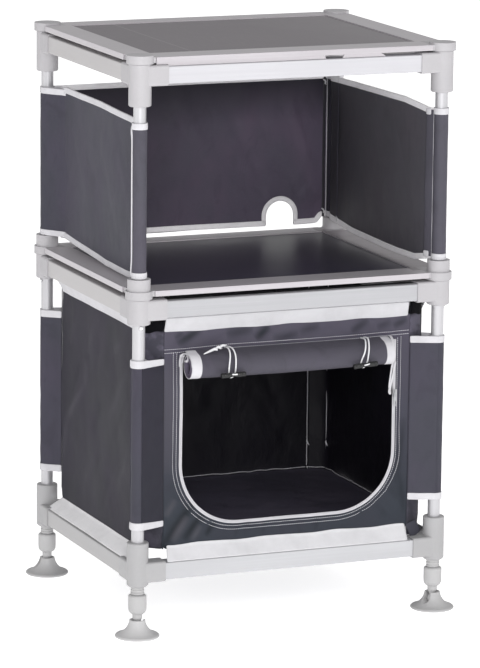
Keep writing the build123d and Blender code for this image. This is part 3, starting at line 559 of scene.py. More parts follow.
def dense(points, step=2.0, blur=0):
    """Plan line through points at even steps, corners rounded by a moving average."""
    p = resample(points, step)
    if blur:
        k = max(1, int(blur / step))
        q = p.copy()
        for i in range(1, len(p) - 1):
            w = min(k, i, len(p) - 1 - i)
            q[i] = p[i - w:i + w + 1].mean(0)
        p = q
    return p


class Cloth:
    """An upright sheet over a plan line. s runs along the line, z is up, relief pushes the cloth outwards."""

    def __init__(self, line, relief, out, other=None, share=None):
        self.a = line
        self.b = other if other is not None else line
        if len(self.b) != len(self.a):
            t = np.linspace(0, 1, len(self.a))
            u = np.linspace(0, 1, len(self.b))
            self.b = np.stack([np.interp(t, u, self.b[:, k]) for k in range(2)], 1)
        self.share = share or (lambda z: 0.0)
        self.d = np.r_[0, np.cumsum(np.linalg.norm(np.diff(line, axis=0), axis=1))]
        self.length = self.d[-1]
        self.relief, self.out = relief, out

    def base(self, s, z):
        w = self.share(z)
        line = self.a * (1 - w) + self.b * w
        t = unit(np.gradient(line, axis=0))
        x, y = np.interp(s, self.d, line[:, 0]), np.interp(s, self.d, line[:, 1])
        tx, ty = np.interp(s, self.d, t[:, 0]), np.interp(s, self.d, t[:, 1])
        k = math.hypot(tx, ty)
        return x, y, self.out * ty / k, -self.out * tx / k

    def at(self, s, z, off=0.0):
        x, y, nx, ny = self.base(s, z)
        d = self.relief(s, z) + off
        return np.array((x + nx * d, y + ny * d, z))

    def normal(self, s, z):
        e = 3.0
        a = self.at(min(self.length, s + e), z) - self.at(max(0.0, s - e), z)
        b = self.at(s, z + e) - self.at(s, z - e)
        n = np.cross(a, b) * self.out
        _, _, nx, ny = self.base(s, z)
        n = unit(n)
        return n if n[0] * nx + n[1] * ny > 0 else -n

    def path(self, sz, off=0.0, step=4.0):
        sz = resample(sz, step)
        return np.array([self.at(s, z, off) for s, z in sz]), np.array([self.normal(s, z) for s, z in sz])


# ------------------------------------------------------------------ cords (elastic loops, the route points of the model in metres)
FACE = -0.2252
ROUTE_LEFT = [
    (-0.1203, FACE - 0.00005, 0.4995), (-0.1203, -0.2380, 0.5010), (-0.1215, -0.2520, 0.5000), (-0.1235, -0.2625, 0.4905),
    (-0.1270, -0.2662, 0.4740), (-0.1265, -0.2620, 0.4560), (-0.1205, -0.2570, 0.4506), (-0.1145, -0.2622, 0.4565),
    (-0.1146, -0.2661, 0.4744), (-0.1134, -0.2625, 0.4905), (-0.1142, -0.2520, 0.5005), (-0.1150, -0.2380, 0.5016),
    (-0.1150, FACE - 0.00005, 0.5000),
]
ROUTE_RIGHT = [
    (0.1366, FACE - 0.00005, 0.4975), (0.1366, -0.2380, 0.4995), (0.1340, -0.2520, 0.4994), (0.1302, -0.2625, 0.4904),
    (0.1272, -0.2662, 0.4800), (0.1210, -0.2654, 0.4660), (0.1206, -0.2620, 0.4560), (0.1266, -0.2570, 0.4506),
    (0.1326, -0.2622, 0.4565), (0.1332, -0.2661, 0.4700), (0.1346, -0.2662, 0.4810), (0.1366, -0.2625, 0.4905),
    (0.1396, -0.2520, 0.5005), (0.1416, -0.2380, 0.5016), (0.1416, FACE - 0.00005, 0.4980),
]


def cord_curve(name, route):
    cu = bpy.data.curves.new(name, "CURVE")
    cu.dimensions = "3D"
    sp = cu.splines.new("NURBS")
    sp.points.add(len(route) - 1)
    for pt, q in zip(sp.points, route):
        pt.co = (*q, 1.0)
    sp.order_u = 3
    sp.use_endpoint_u = True
    sp.resolution_u = 10
    cu.bevel_depth = 0.0013
    cu.bevel_resolution = 4
    cu.use_fill_caps = True
    cu.materials.append(M["cord"])
    ob = bpy.data.objects.new(name, cu)
    bpy.context.collection.objects.link(ob)
    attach(ob, "root")
    return ob


def toggle(name, cx, tilt, z=458.5):
    """Barrel toggle: rounded ends, waist in the middle, shallow grooves."""
    y0, half = -269.3, 23.0
    prof = [(-half, 0.0), (-half, 2.6), (-half + 0.5, 3.9), (-half + 1.6, 4.5), (-half + 3.0, 4.6), (-half + 5.2, 4.6), (-half + 5.6, 4.25),
            (-half + 6.4, 4.25), (-half + 6.8, 4.6), (-9.2, 4.6), (-8.8, 4.25), (-8.0, 4.25), (-7.6, 4.6), (-6.2, 4.55), (-5.2, 4.0), (-4.0, 3.4), (-2.0, 3.25), (0.0, 3.22)]
    prof += [(-x, r) for x, r in prof[-2::-1]]
    sides, verts = 24, []
    ct, st = math.cos(math.radians(tilt)), math.sin(math.radians(tilt))
    for x, r in prof:
        for k in range(sides):
            g = 2 * math.pi * k / sides
            dx, dy, dz = x, r * math.cos(g), r * math.sin(g)
            verts.append((cx + dx * ct - dz * st, y0 + dy, z + dx * st + dz * ct))
    n = len(prof)
    faces = [(i * sides + j, (i + 1) * sides + j, (i + 1) * sides + (j + 1) % sides, i * sides + (j + 1) % sides) for i in range(1, n - 2) for j in range(sides)]
    verts = [verts[0]] + verts[sides:(n - 1) * sides] + [verts[-1]]
    first, last = 0, len(verts) - 1
    faces = [tuple(v - sides + 1 for v in f) for f in faces]
    faces += [(first, 1 + j, 1 + (j + 1) % sides) for j in range(sides)]
    faces += [(last, last - sides + (j + 1) % sides, last - sides + j) for j in range(sides)]
    ob = add(name, verts, faces, M["toggle"], "root")
    return ob


loop_left = cord_curve("elastic_loop_left", ROUTE_LEFT)
loop_right = cord_curve("elastic_loop_right", ROUTE_RIGHT)
toggle_left = toggle("toggle_left", -120.5, 1.0)
toggle_right = toggle("toggle_right", 127.0, 4.0)
bar_left = tube("toggle_tie_left", [(-124.0, -269.0, 459.6), (-123.2, -272.6, 460.2), (-120.8, -273.9, 460.2), (-116.2, -273.9, 460.1), (-113.8, -272.6, 459.8), (-113.2, -269.2, 459.4)],
                [1.2, 1.3, 1.35, 1.35, 1.3, 1.2], M["cord"], "root", sides=10)
bar_right = tube("toggle_tie_right", [(123.2, -269.0, 458.4), (124.0, -272.6, 459.0), (126.0, -273.9, 459.5), (131.4, -273.9, 460.6), (133.8, -272.6, 460.9), (134.6, -269.2, 461.0)],
                 [1.2, 1.3, 1.35, 1.35, 1.3, 1.2], M["cord"], "root", sides=10)
for b in (bar_left, bar_right):
    soften(b)
for ob, route, node, bits in ((loop_left, ROUTE_LEFT, "toggle_cord_left", [toggle_left, bar_left]),
                              (loop_right, ROUTE_RIGHT, "toggle_cord_right", [toggle_right, bar_right])):
    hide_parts(node)
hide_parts("toggles")
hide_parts("toggles")


# ------------------------------------------------------------------ cloth helpers
def merged(name, verts, faces, mats, body, index=None):
    """As add, with points that coincide joined."""
    ob = add(name, verts, faces, mats, body, index)
    import bmesh
    bm = bmesh.new()
    bm.from_mesh(ob.data)
    bmesh.ops.remove_doubles(bm, verts=bm.verts, dist=0.00002)
    bm.to_mesh(ob.data)
    bm.free()
    return ob


def patch(cloth, name, s0, s1, low, high, mats, body="root", step=6.0, thick=1.0, off=0.0, levels=1, inner=0, rows=None, lean=0.0):
    """Part of a sheet between two heights (numbers or functions of s)."""
    low = low if callable(low) else (lambda s, v=low: v)
    high = high if callable(high) else (lambda s, v=high: v)
    nu = max(3, int((s1 - s0) / step) + 1)
    nv = rows or max(3, int((high((s0 + s1) / 2) - low((s0 + s1) / 2)) / step) + 1)
    verts = []
    for i, s in enumerate(np.linspace(s0, s1, nu)):
        for z in np.linspace(low(s), high(s), nv):
            ss = s
            if lean:
                ss = s + lean * (z - low(s)) / (high(s) - low(s)) * (1 if i == 0 else -1 if i == nu - 1 else 0)
            verts.append(cloth.at(ss, z, off))
    ob = add(name, verts, grid_faces(nu, nv, flip=cloth.out < 0), mats, body)
    if levels:
        soften(ob, levels)
    return thicken(ob, thick, 0.0, inner)


def ring(name, cx, cy, rad, z0, z1, mats, body, thick=0.9, start=0.0, sweep=2 * math.pi, step=7.0, seed=1.0, rough=0.35, nz=None, levels=1):
    """Cloth sleeve round a post, with small dents; thick goes outwards from rad."""
    closed = abs(sweep - 2 * math.pi) < 1e-6
    n = 28 if closed else max(6, int(28 * sweep / (2 * math.pi)))
    nz = nz or max(3, int((z1 - z0) / step) + 1)
    verts = []
    for k in range(n if closed else n + 1):
        g = start + sweep * k / n
        for z in np.linspace(z0, z1, nz):
            dent = rough * wob(math.cos(g) * 14, math.sin(g) * 14, z * 0.35, 9.0, seed)
            dent += rough * 0.8 * wob(math.cos(g) * 20, math.sin(g) * 20, z, 26.0, seed + 3)
            r = rad + max(0.0, 0.35 + dent) + thick / 2
            verts.append((cx + r * math.cos(g), cy + r * math.sin(g), z))
    m = n if closed else n + 1
    faces = []
    for i in range(n):
        for j in range(nz - 1):
            a, b = i * nz + j, ((i + 1) % m) * nz + j
            faces.append((a, b, b + 1, a + 1))
    ob = add(name, verts, faces, mats, body)
    if levels:
        soften(ob, levels)
    return thicken(ob, thick, 0.0)


def along(folds, a, b):
    return sum(ridge(a, b, p, q, w, h) for p, q, w, h in folds)


PX, PY = 280.5, 231.75
POSTS = {"front_left": (-PX, -PY), "front_right": (PX, -PY), "back_left": (-PX, PY), "back_right": (PX, PY)}


# ------------------------------------------------------------------ lower compartment: plan lines
def side_line(sx):
    pts = [(sx * 231.2, -223.8), (sx * 240.0, -219.6), (sx * 259.0, -207.6), (sx * 264.0, -200.0), (sx * 264.4, -120.0), (sx * 263.2, 0.0),
           (sx * 264.2, 120.0), (sx * 264.0, 200.0), (sx * 259.0, 207.6), (sx * 240.0, 219.6), (sx * 231.2, 223.8)]
    return dense(pts, 2.0, 6.0)


# folds are (start, end, half width, height) in (distance along the sheet, z); the front corner is near s = 42, the back one near s = 450
SIDE_FOLDS_LEFT = [
    ((316, 440), (318, 385), 8.0, 1.8), ((318, 385), (412, 302), 9.0, 2.4), ((410, 306), (436, 210), 9.0, 2.2), ((340, 400), (420, 330), 8.0, -1.5),
    ((108, 450), (206, 336), 9.0, 1.8), ((130, 500), (176, 470), 8.0, 1.4), ((96, 400), (170, 310), 9.0, -1.3), ((276, 505), (306, 440), 8.0, 1.6), ((240, 490), (270, 400), 9.0, -1.4),
    ((96, 300), (150, 226), 9.0, 1.4), ((366, 500), (396, 440), 8.0, 1.5), ((226, 380), (276, 300), 12.0, -1.5), ((256, 280), (316, 200), 11.0, 1.5), ((60, 520), (100, 470), 7.0, 1.2), ((420, 500), (446, 430), 6.0, -1.3),
    ((180, 250), (230, 170), 9.0, -1.2),
]
SIDE_FOLDS_RIGHT = [((a0[0] * 0.92 + 22, a0[1]), (b0[0] * 0.95 + 16, b0[1]), w0, h0 * 0.9) for a0, b0, w0, h0 in SIDE_FOLDS_LEFT]


def low_side_relief(folds, seed):
    def f(s, z):
        e = min(s, 492 - s)
        hold = min(1.0, max(0.0, (z - 140) / 26)) * min(1.0, max(0.0, (556 - z) / 26))
        d = 0.8 * along(folds, s, z)
        d += 2.6 * wob(s, 0, z, 95.0, seed) + 0.9 * wob(s, 40, z, 42.0, seed + 4) + 0.15 * wob(s, 80, z, 16.0, seed + 7)
        near = min(1.0, max(0.0, e / 22.0))
        return d * (0.25 + 0.75 * hold) * near - 1.2 * math.exp(-((z - 148) / 9.0) ** 2) * near
    return f


def leaning(base, low0, low1, reach_low, high0, high1, reach_high):
    """Adds the bands that lean out towards the rails to a relief."""
    def f(s, z):
        d = base(s, z)
        if z < low0:
            t = (low0 - z) / (low0 - low1)
            return d * max(0.0, 1 - t) + reach_low * t
        if z > high0:
            t = (z - high0) / (high1 - high0)
            return d * max(0.0, 1 - t) + reach_high * t
        return d
    return f


LOW_SIDE = {}
for tag, sx, folds, seed in (("left", -1, SIDE_FOLDS_LEFT, 2.3), ("right", 1, SIDE_FOLDS_RIGHT, 9.1)):
    line = side_line(sx)
    plain = low_side_relief(folds, seed)
    body_cloth = Cloth(line, plain, sx)
    L = body_cloth.length
    LOW_SIDE[tag] = body_cloth
    # corners of this sheet: distance along it where the flat side begins and ends
    c0, c1 = 38.0, L - 38.0

    def foot(s, c0=c0, c1=c1):
        """Lower edge of the slate cloth: corners hang lower, the side ends at the lower band."""
        e = min(s, L - s)
        drop = 12.5 if tag == "right" and s < L / 2 else 0.0
        return 147.5 + (2.0 if drop == 0.0 and e < 44 else 0.0) - drop * max(0.0, min(1.0, (44 - e) / 14)) + 0.6 * math.sin(s / 17.0)

    def head(s):
        e = min(s, L - s)
        return 533.5 + 22.5 * max(0.0, min(1.0, (46 - e) / 10)) + 0.5 * math.sin(s / 21.0 + 1)

    ob = patch(body_cloth, "lower_side_" + tag + "_cloth", 0.0, L, foot, head, [M["slate_low"], M["lining"]], step=6.0, thick=1.0, inner=1)
    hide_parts("lower_side_" + tag)
    # pale bands leaning out to the rails
    s0, s1 = 44.0, L - 44.0
    nb = 70
    for part, za, zb, reach in (("low", 147.5, 130.8, 26.5), ("high", 533.0, 558.0, 12.5)):
        verts, rows = [], 8
        for i, s in enumerate(np.linspace(s0, s1, nb)):
            for t in np.linspace(-0.10, 1.0, rows):
                z = za + (zb - za) * t
                d = plain(s, za) * max(0.0, 1 - abs(t) * 1.2)
                d += reach * max(0.0, t) + 0.7 + 0.45 * wob(s, z, 3, 16.0, seed + 20) * math.sin(math.pi * min(1, max(0, t)))
                shift = -10.0 * max(0.0, t) if i == nb - 1 and part == "low" else 0.0
                x, y, nx, ny = body_cloth.base(s, z)
                verts.append((x + nx * d, y + ny * d + shift * 0, z))
        flip = (body_cloth.out < 0) != (part == "low")
        band = add("lower_side_" + tag + "_band_" + part, verts, grid_faces(nb, rows, flip=flip), (M["band_left"] if part == "low" else M["band_left_high"]) if tag == "left" else M["band"], "root")
        soften(band)
        thicken(band, 1.0, 0.0)


for tag, sx in (("left", -1), ("right", 1)):
    # painted shade: a near black sheet over the top of each front corner, under the middle rail
    patch(LOW_SIDE[tag], "lower_side_%s_tucked_end" % tag, 2.0, 38.0, lambda s: 531.5 + 2.4 * math.sin(s / 6.0), 555.0, M["tuck"], "root", step=4.0, thick=0.8, off=1.1)
corner_fill = tube("lower_front_left_corner", [(-231.6, -224.9, 148.6), (-231.8, -224.7, 156.0), (-231.6, -224.5, 166.0), (-231.4, -224.4, 178.0)], [1.9, 1.8, 1.5, 1.0], M["slate_front"], "root", sides=8)
soften(corner_fill)
# loose end of the right sheet, folded down over the arm of the front right connector
flap_verts, flap_n, flap_m = [], 9, 7
for i in range(flap_n):
    for j in range(flap_m):
        u, t = i / (flap_n - 1), j / (flap_m - 1)
        a0 = Vector((228.6, -224.6, 155.0)).lerp(Vector((248.6, -221.6, 161.0)), u)
        a1 = Vector((239.2, -226.6, 129.6)).lerp(Vector((261.6, -221.0, 141.0)), u)
        v = a0.lerp(a1, t) + Vector((0.4, -1.0, 0.2)) * (1.6 * math.sin(math.pi * u) * t + 0.5 * wob(i * 6.0, j * 6.0, 0, 9.0, 71.0))
        flap_verts.append(tuple(v))
flap = add("lower_side_right_flap", flap_verts, grid_faces(flap_n, flap_m), M["slate"], "root")
soften(flap)
thicken(flap, 1.0, 0.0)


# ------------------------------------------------------------------ lower front and back
DOOR_X, DOOR_R, DOOR_LOW, DOOR_TOP = 199.0, 106.0, 189.0, 494.0
FRONT_FOLDS = [
    ((-171, 226), (-226, 160), 6.5, -2.6), ((-160, 205), (-196, 165), 4.5, -2.0), ((-141, 196), (-160, 172), 4.0, -1.6),
    ((-214, 236), (-228, 196), 5.0, 1.6), ((-120, 188), (-136, 166), 4.0, 1.1), ((-70, 186), (-92, 162), 5.0, -1.0), ((-10, 184), (-26, 162), 5.0, 0.9),
    ((60, 186), (44, 160), 5.0, -0.9), ((168, 206), (206, 168), 6.0, -2.0), ((182, 226), (224, 186), 5.0, 1.7), ((136, 192), (158, 166), 5.0, -1.3),
    ((-214, 508), (-170, 528), 5.0, -1.8), ((-200, 500), (-176, 530), 4.5, 1.6), ((-150, 506), (-96, 528), 5.5, -1.2), ((-44, 510), (-12, 530), 6.0, -2.0),
    ((-20, 506), (18, 526), 5.0, 1.3), ((40, 508), (90, 520), 6.0, -1.2), ((104, 506), (132, 530), 6.0, 1.4), ((150, 508), (196, 528), 6.0, -1.5), ((186, 502), (222, 522), 5.0, 1.5),
    ((-222, 440), (-218, 300), 4.5, 1.1), ((219, 470), (216, 300), 4.5, -1.0), ((224, 330), (206, 230), 5.0, 1.2),
]


def front_relief(s, z):
    x = s - 231.0
    d = 1.7 * along(FRONT_FOLDS, x, z)
    d += 1.5 * wob(x, 0, z, 70.0, 5.5) + 0.8 * wob(x, 30, z, 27.0, 8.5) + 0.3 * wob(x, 60, z, 11.0, 1.5)
    edge = min(1.0, max(0.0, (231.0 - abs(x)) / 14.0))
    # flat along the straight right run of the zip, so that its slider runs free
    calm = 1.0 - math.exp(-((x - 202.0) / 9.0) ** 2) * min(1.0, max(0.0, (z - 270) / 25.0)) * min(1.0, max(0.0, (512 - z) / 20.0))
    hold = min(1.0, max(0.15, (z - 154) / 16)) * min(1.0, max(0.15, (533 - z) / 14))
    return min(3.0, max(-4.2, d)) * edge * calm * hold


def back_relief(s, z):
    x = s - 231.0
    d = 2.4 * wob(x, 5, z, 90.0, 12.5) + 1.4 * wob(x, 30, z * 0.7, 36.0, 15.5) + 0.4 * wob(x, 60, z, 13.0, 17.5)
    d += along([((-190, 510), (-100, 260), 10, 2.0), ((-60, 520), (40, 230), 12, -1.9), ((80, 500), (190, 240), 11, 2.0), ((-200, 300), (-120, 180), 9, -1.5), ((110, 330), (210, 180), 9, 1.6)], x, z)
    return d * min(1.0, max(0.0, (231.0 - abs(x)) / 20.0)) * min(1.0, max(0.2, (z - 154) / 24)) * min(1.0, max(0.2, (533 - z) / 20))


front = Cloth(dense([(-231.0, -224.0), (231.0, -224.0)], 2.0), front_relief, 1)
back = Cloth(dense([(-231.0, 224.0), (231.0, 224.0)], 2.0), back_relief, -1)


def door_rim(n_leg=40, n_arc=22, n_foot=44, grow=0.0, top=DOOR_TOP, low_blend=1.0):
    """Points round the door from its top left, down, across and up to its top right."""
    x, z0, r = DOOR_X + grow, DOOR_LOW - grow, DOOR_R + grow
    pts = [(-x, top + (z0 + r - top) * t) for t in np.linspace(0, 1, n_leg + 1)]
    pts += [(-x + r - r * math.cos(g), z0 + r - r * math.sin(g)) for g in np.linspace(0, math.pi / 2, n_arc + 1)[1:]]
    pts += [(-x + r + (2 * x - 2 * r) * t, z0) for t in np.linspace(0, 1, n_foot + 1)[1:]]
    pts += [(x - r + r * math.sin(g), z0 + r - r * math.cos(g)) for g in np.linspace(0, math.pi / 2, n_arc + 1)[1:]]
    pts += [(x, z0 + r + (top - z0 - r) * t) for t in np.linspace(0, 1, n_leg + 1)[1:]]
    return pts


def front_sheet():
    n_leg, n_arc, n_foot, nr = 40, 22, 44, 8
    inner = door_rim(n_leg, n_arc, n_foot)
    px, low = 231.0, 148.6
    outer = [(-px, z) for _, z in inner[:n_leg + 1]]
    c = n_arc
    k = len(inner)
    # outer line under the left arc: down the panel's edge, then along its foot
    half = c // 2
    z1 = inner[n_leg][1]
    outer += [(-px, z1 + (low - z1) * t) for t in np.linspace(0, 1, half + 1)[1:]]
    x1 = inner[n_leg + c][0]
    outer += [(-px + (x1 + px) * t, low) for t in np.linspace(0, 1, c - half + 1)[1:]]
    outer += [(x, low) for x, _ in inner[n_leg + c + 1:n_leg + c + n_foot + 1]]
    x2 = inner[n_leg + c + n_foot][0]
    outer += [(x2 + (px - x2) * t, low) for t in np.linspace(0, 1, c - half + 1)[1:]]
    outer += [(px, low + (z1 - low) * t) for t in np.linspace(0, 1, half + 1)[1:]]
    outer += [(px, z) for _, z in inner[-n_leg:]]
    verts, faces = [], []
    for (a, b), (p, q) in zip(inner, outer):
        for t in np.linspace(0, 1, nr + 1):
            verts.append(front.at(a + (p - a) * t + 231.0, b + (q - b) * t))
    m = nr + 1
    for i in range(k - 1):
        for j in range(nr):
            faces.append((i * m + j, i * m + j + 1, (i + 1) * m + j + 1, (i + 1) * m + j))
    # above the door
    base = len(verts)
    xs = [-px + (px - DOOR_X) * t for t in np.linspace(0, 1, nr + 1)]
    xs += list(np.linspace(-DOOR_X, DOOR_X, 71)[1:])
    xs += [DOOR_X + (px - DOOR_X) * t for t in np.linspace(0, 1, nr + 1)[1:]]
    zs = np.linspace(DOOR_TOP, 535.0, 9)
    for x in xs:
        for z in zs:
            verts.append(front.at(x + 231.0, z))
    nz = len(zs)
    for i in range(len(xs) - 1):
        for j in range(nz - 1):
            faces.append((base + i * nz + j, base + (i + 1) * nz + j, base + (i + 1) * nz + j + 1, base + i * nz + j + 1))
    ob = merged("lower_front_cloth", verts, faces, [M["slate_front"], M["lining"]], "root")
    soften(ob)
    thicken(ob, 1.0, 0.0, 1)
    return ob


front_sheet()
patch(back, "lower_back_cloth", 0.0, back.length, 154.5, 533.5, [M["slate_low"], M["lining"]], step=8.0, thick=1.0, inner=1)
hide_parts("lower_front_panel")
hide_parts("lower_back_panel")


def cross_band(name, cloth, x0, x1, za, zb, reach, seed, skew0=0.0, skew1=0.0):
    """White band that leans out from the cloth to the rail."""
    verts, rows, n = [], 9, 90
    for i in range(n):
        u = i / (n - 1)
        for t in np.linspace(-0.08, 1.0, rows):
            x = x0 + (x1 - x0) * u + max(0.0, t) * (skew0 * (1 - u) + skew1 * u)
            s = min(max(x + 231.0, 0.5), cloth.length - 0.5)
            tt = max(0.0, t)
            edge = za + (0.9 * math.sin(x / 19.0 + seed) + 1.1 * wob(x, 0, 0, 38.0, seed)) * (1 - tt)
            z = edge + (zb - za) * t
            d = cloth.relief(s, min(max(za, 155.0), 532.0)) * (1 - tt) + reach * tt + 0.75
            d += (0.55 * wob(x, z, 0, 14.0, seed) + 0.5 * wob(x, 0, 9, 30.0, seed + 2)) * math.sin(math.pi * min(1.0, tt * 0.9 + 0.05))
            bx, by, nx, ny = cloth.base(s, z)
            verts.append((x, by + ny * d, z))
    flip = (cloth.out < 0) != (zb < za)
    ob = add(name, verts, grid_faces(n, rows, flip=flip), M["band_high"] if "high" in name else M["band"], "root")
    soften(ob)
    return thicken(ob, 1.0, 0.0)


cross_band("front_band_high", front, -231.0, 226.5, 533.6, 558.4, 11.6, 1.0, -1.0, -3.0)
cross_band("front_band_low", front, -224.6, 226.4, 154.5, 131.0, 19.8, 3.0, -6.0, -1.6)
cross_band("back_band_high", back, -228.0, 228.0, 531.0, 558.4, 11.6, 5.0)
cross_band("back_band_low", back, -228.0, 228.0, 154.5, 132.3, 19.0, 7.0)


# ------------------------------------------------------------------ sleeves and strips of the lower module
def strip_cloth(points, seed, out):
    line = dense(points, 2.0, 4.0)
    n = np.cumsum(np.r_[0, np.linalg.norm(np.diff(line, axis=0), axis=1)])[-1]

    def f(s, z):
        e = min(1.0, max(0.0, min(s, n - s) / 8.0))
        d = 1.1 * wob(s, 0, z, 60.0, seed) + 1.2 * wob(s * 1.5, 30, z, 24.0, seed + 2) + 0.25 * wob(s, 60, z, 9.0, seed + 5)
        return d * e
    return Cloth(line, f, out)


for tag, (cx, cy) in POSTS.items():
    sx, sy = (1 if cx > 0 else -1), (1 if cy > 0 else -1)
    heights = {"front_left": ((190.8, 203.8), (475.2, 488.6)), "front_right": ((200.0, 212.0), (482.8, 494.8)),
               "back_left": ((195.0, 207.6), (479.6, 492.2)), "back_right": ((196.0, 208.0), (480.0, 492.0))}[tag]
    low, high = heights[0][0] + 0.8, heights[1][1] - 0.8
    ob = ring("lower_sleeve_" + tag, cx, cy, 11.3, low, high, M["slate"], "root", thick=1.0, seed=sx * 2 + sy, rough=0.45)
    for k, (z0, z1) in enumerate(heights):
        b = ring("lower_sleeve_bind_%s_%d" % (tag, k), cx, cy, 12.0, z0, z1, M["binding"], "root", thick=1.3, seed=k + sx, rough=0.2, nz=6)
    # strips to the cross wall and to the side wall, tangent to the sleeve
    cross_pts = [(sx * 231.5, sy * 225.0), (sx * 250.0, sy * 233.2), (sx * 268.0, sy * 240.0), (sx * 278.5, sy * 244.6)]
    side_pts = [(sx * 263.4, sy * 202.0), (sx * 267.0, sy * 205.8), (sx * 276.0, sy * 212.0), (sx * 288.0, sy * 221.5), (sx * 293.4, sy * 228.5)]
    for part, pts, out in (("cross", cross_pts, 1 if sx * sy < 0 else -1), ("side", side_pts, sx)):
        if part == "cross" and sx > 0:
            pts = pts[::-1]
        if part == "cross":
            out = 1 if sy < 0 else -1
        else:
            if sy < 0:
                pts = pts[::-1]
            out = sx
        cl = strip_cloth(pts, sx * 3 + sy * 5 + len(part), out)
        # painted shade: the front left cross strip takes the darker copy of the cloth
        shade = M["slate_dark"] if (part, tag) == ("cross", "front_left") else M["slate"]
        st = patch(cl, "lower_strip_%s_%s" % (part, tag), 0.0, cl.length, low, high, shade, step=5.0, thick=1.0)
        for k, (z0, z1) in enumerate(heights):
            fall = 3.0 if (part, tag) == ("cross", "front_left") else 0.0
            b = patch(cl, "lower_strip_bind_%s_%s_%d" % (part, tag, k), 0.0, cl.length, z0, lambda s, z1=z1, n=cl.length, f=fall: z1 - f * (1 - s / n), M["binding"], step=4.0, thick=2.6, off=0.2, rows=6)


# ------------------------------------------------------------------ compartment floor and inside seams
def floor_sheet():
    nx, ny = 70, 60
    verts = []
    for i in range(nx):
        for j in range(ny):
            y = -220.0 + 440.0 * j / (ny - 1)
            lim = 260.0 if abs(y) < 202 else 228.0 + (220.5 - abs(y)) * 1.72
            x = -lim + 2 * lim * i / (nx - 1)
            edge = min((lim - abs(x)) / 26.0, (220.0 - abs(y)) / 26.0, 1.0)
            z = 157.2 + 1.5 * wob(x, y, 0, 85.0, 3.0) + 0.8 * wob(x, y, 9, 30.0, 6.0)
            z += 2.2 * math.exp(-edge * 4.0) + 0.9 * math.exp(-edge * 5.0) * wob(x, y, 3, 14.0, 2.0)
            verts.append((x, y, z))
    ob = add("compartment_floor_cloth", verts, grid_faces(nx, ny), [M["lining_floor"], M["slate"]], "root")
    soften(ob)
    return thicken(ob, 1.6, 0.0, 1)


floor_sheet()
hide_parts("compartment_floor")


def seam_path(points, amp, seed, step=5.0):
    p = resample(np.asarray(points, float), step)
    out = []
    for k, (x, y, z) in enumerate(p):
        e = min(1.0, k / 3.0, (len(p) - 1 - k) / 3.0)
        out.append((x + e * amp * wob(x, y, z, 13.0, seed) * 0.7, y + e * amp * wob(x, y, z, 12.0, seed + 3) * 0.7, z + e * amp * wob(x, y, z, 15.0, seed + 6)))
    return out


ring_pts = [(-228, -220.0), (228, -220.0), (260.0, -202.0), (260.0, 202.0), (228, 220.0), (-228, 220.0), (-260.0, 202.0), (-260.0, -202.0), (-228, -220.0)]
seams = []
for k, (a, b) in enumerate(zip(ring_pts, ring_pts[1:])):
    ins = 0.992
    seams.append(tube("floor_seam_%d" % k, seam_path([(a[0] * ins, a[1] * ins, 162.0), (b[0] * ins, b[1] * ins, 162.0)], 2.0, 4.0 + k), 0.85, M["seam_pale"], "root", sides=7))
for k, (x, y) in enumerate([(228.6, 220.8), (260.3, 203.6), (-230.2, 221.2), (-262.2, 203.0), (262.2, -203.0), (-262.2, -203.0)]):
    seams.append(tube("corner_seam_%d" % k, seam_path([(x, y, 163.0), (x, y, 548.0)], 0.7, 14.0 + k, 9.0), 1.1, M["seam_pale"] if k < 2 else M["seam"], "root", sides=7))
for s in seams:
    soften(s)
# loose thread ends of the tacks half way up the corner seams
for k, (x, y, z) in enumerate([(229.0, 219.6, 209.0), (259.6, 202.0, 208.0)]):
    tube("seam_tack_%d" % k, [(x, y, z + 6), (x - 1.5, y - 1.6, z + 3), (x - 0.6, y - 2.2, z - 1), (x + 1.6, y - 1.8, z - 4), (x + 3.4, y - 1.4, z - 6)], [0.5, 1.3, 1.5, 1.2, 0.6], M["thread"], "root", sides=6)


# ------------------------------------------------------------------ zip round the door
def rim_line(grow, z_top=491.0, cloth_off=1.3, step=3.0, dx=0.0):
    pts = [(x + 231.0 + dx, z) for x, z in door_rim(grow=grow, top=z_top)]
    return front.path(pts, cloth_off, step)


tape_p, tape_n = rim_line(1.85, 491.0, 1.15, dx=1.25)
zip_tape = strip("zip_tape", tape_p, tape_n, 5.4, 0.9, M["zip"], "root")
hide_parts("zip_track")
edge_p, edge_n = rim_line(-0.2, 491.0, 0.9, dx=1.25)
zip_edge = tube("zip_edge", edge_p, 0.9, M["zip"], "root", sides=8)


def zip_teeth():
    """Interlocking coil: one small loop each 2.1 mm."""
    p, n = rim_line(1.85, 489.0, 1.95, 2.1, dx=1.25)
    t = tangents(p)
    verts, faces = [], []
    for q, nn, tt in zip(p, n, t):
        a = unit(np.cross(tt, nn))
        k = len(verts)
        for side, high in ((-1.75, -0.35), (-1.45, 0.25), (-0.5, 0.5), (0.5, 0.5), (1.45, 0.25), (1.75, -0.35)):
            for al in (-0.62, 0.62):
                verts.append(q + a * side + nn * high + tt * al)
        for j in range(5):
            faces.append((k + 2 * j, k + 2 * j + 1, k + 2 * j + 3, k + 2 * j + 2))
        faces += [(k, k + 2, k + 4, k + 6, k + 8, k + 10), (k + 1, k + 11, k + 9, k + 7, k + 5, k + 3), (k, k + 10, k + 11, k + 1)]
    return add("zip_teeth", verts, faces, M["zip"], "root")


teeth = zip_teeth()

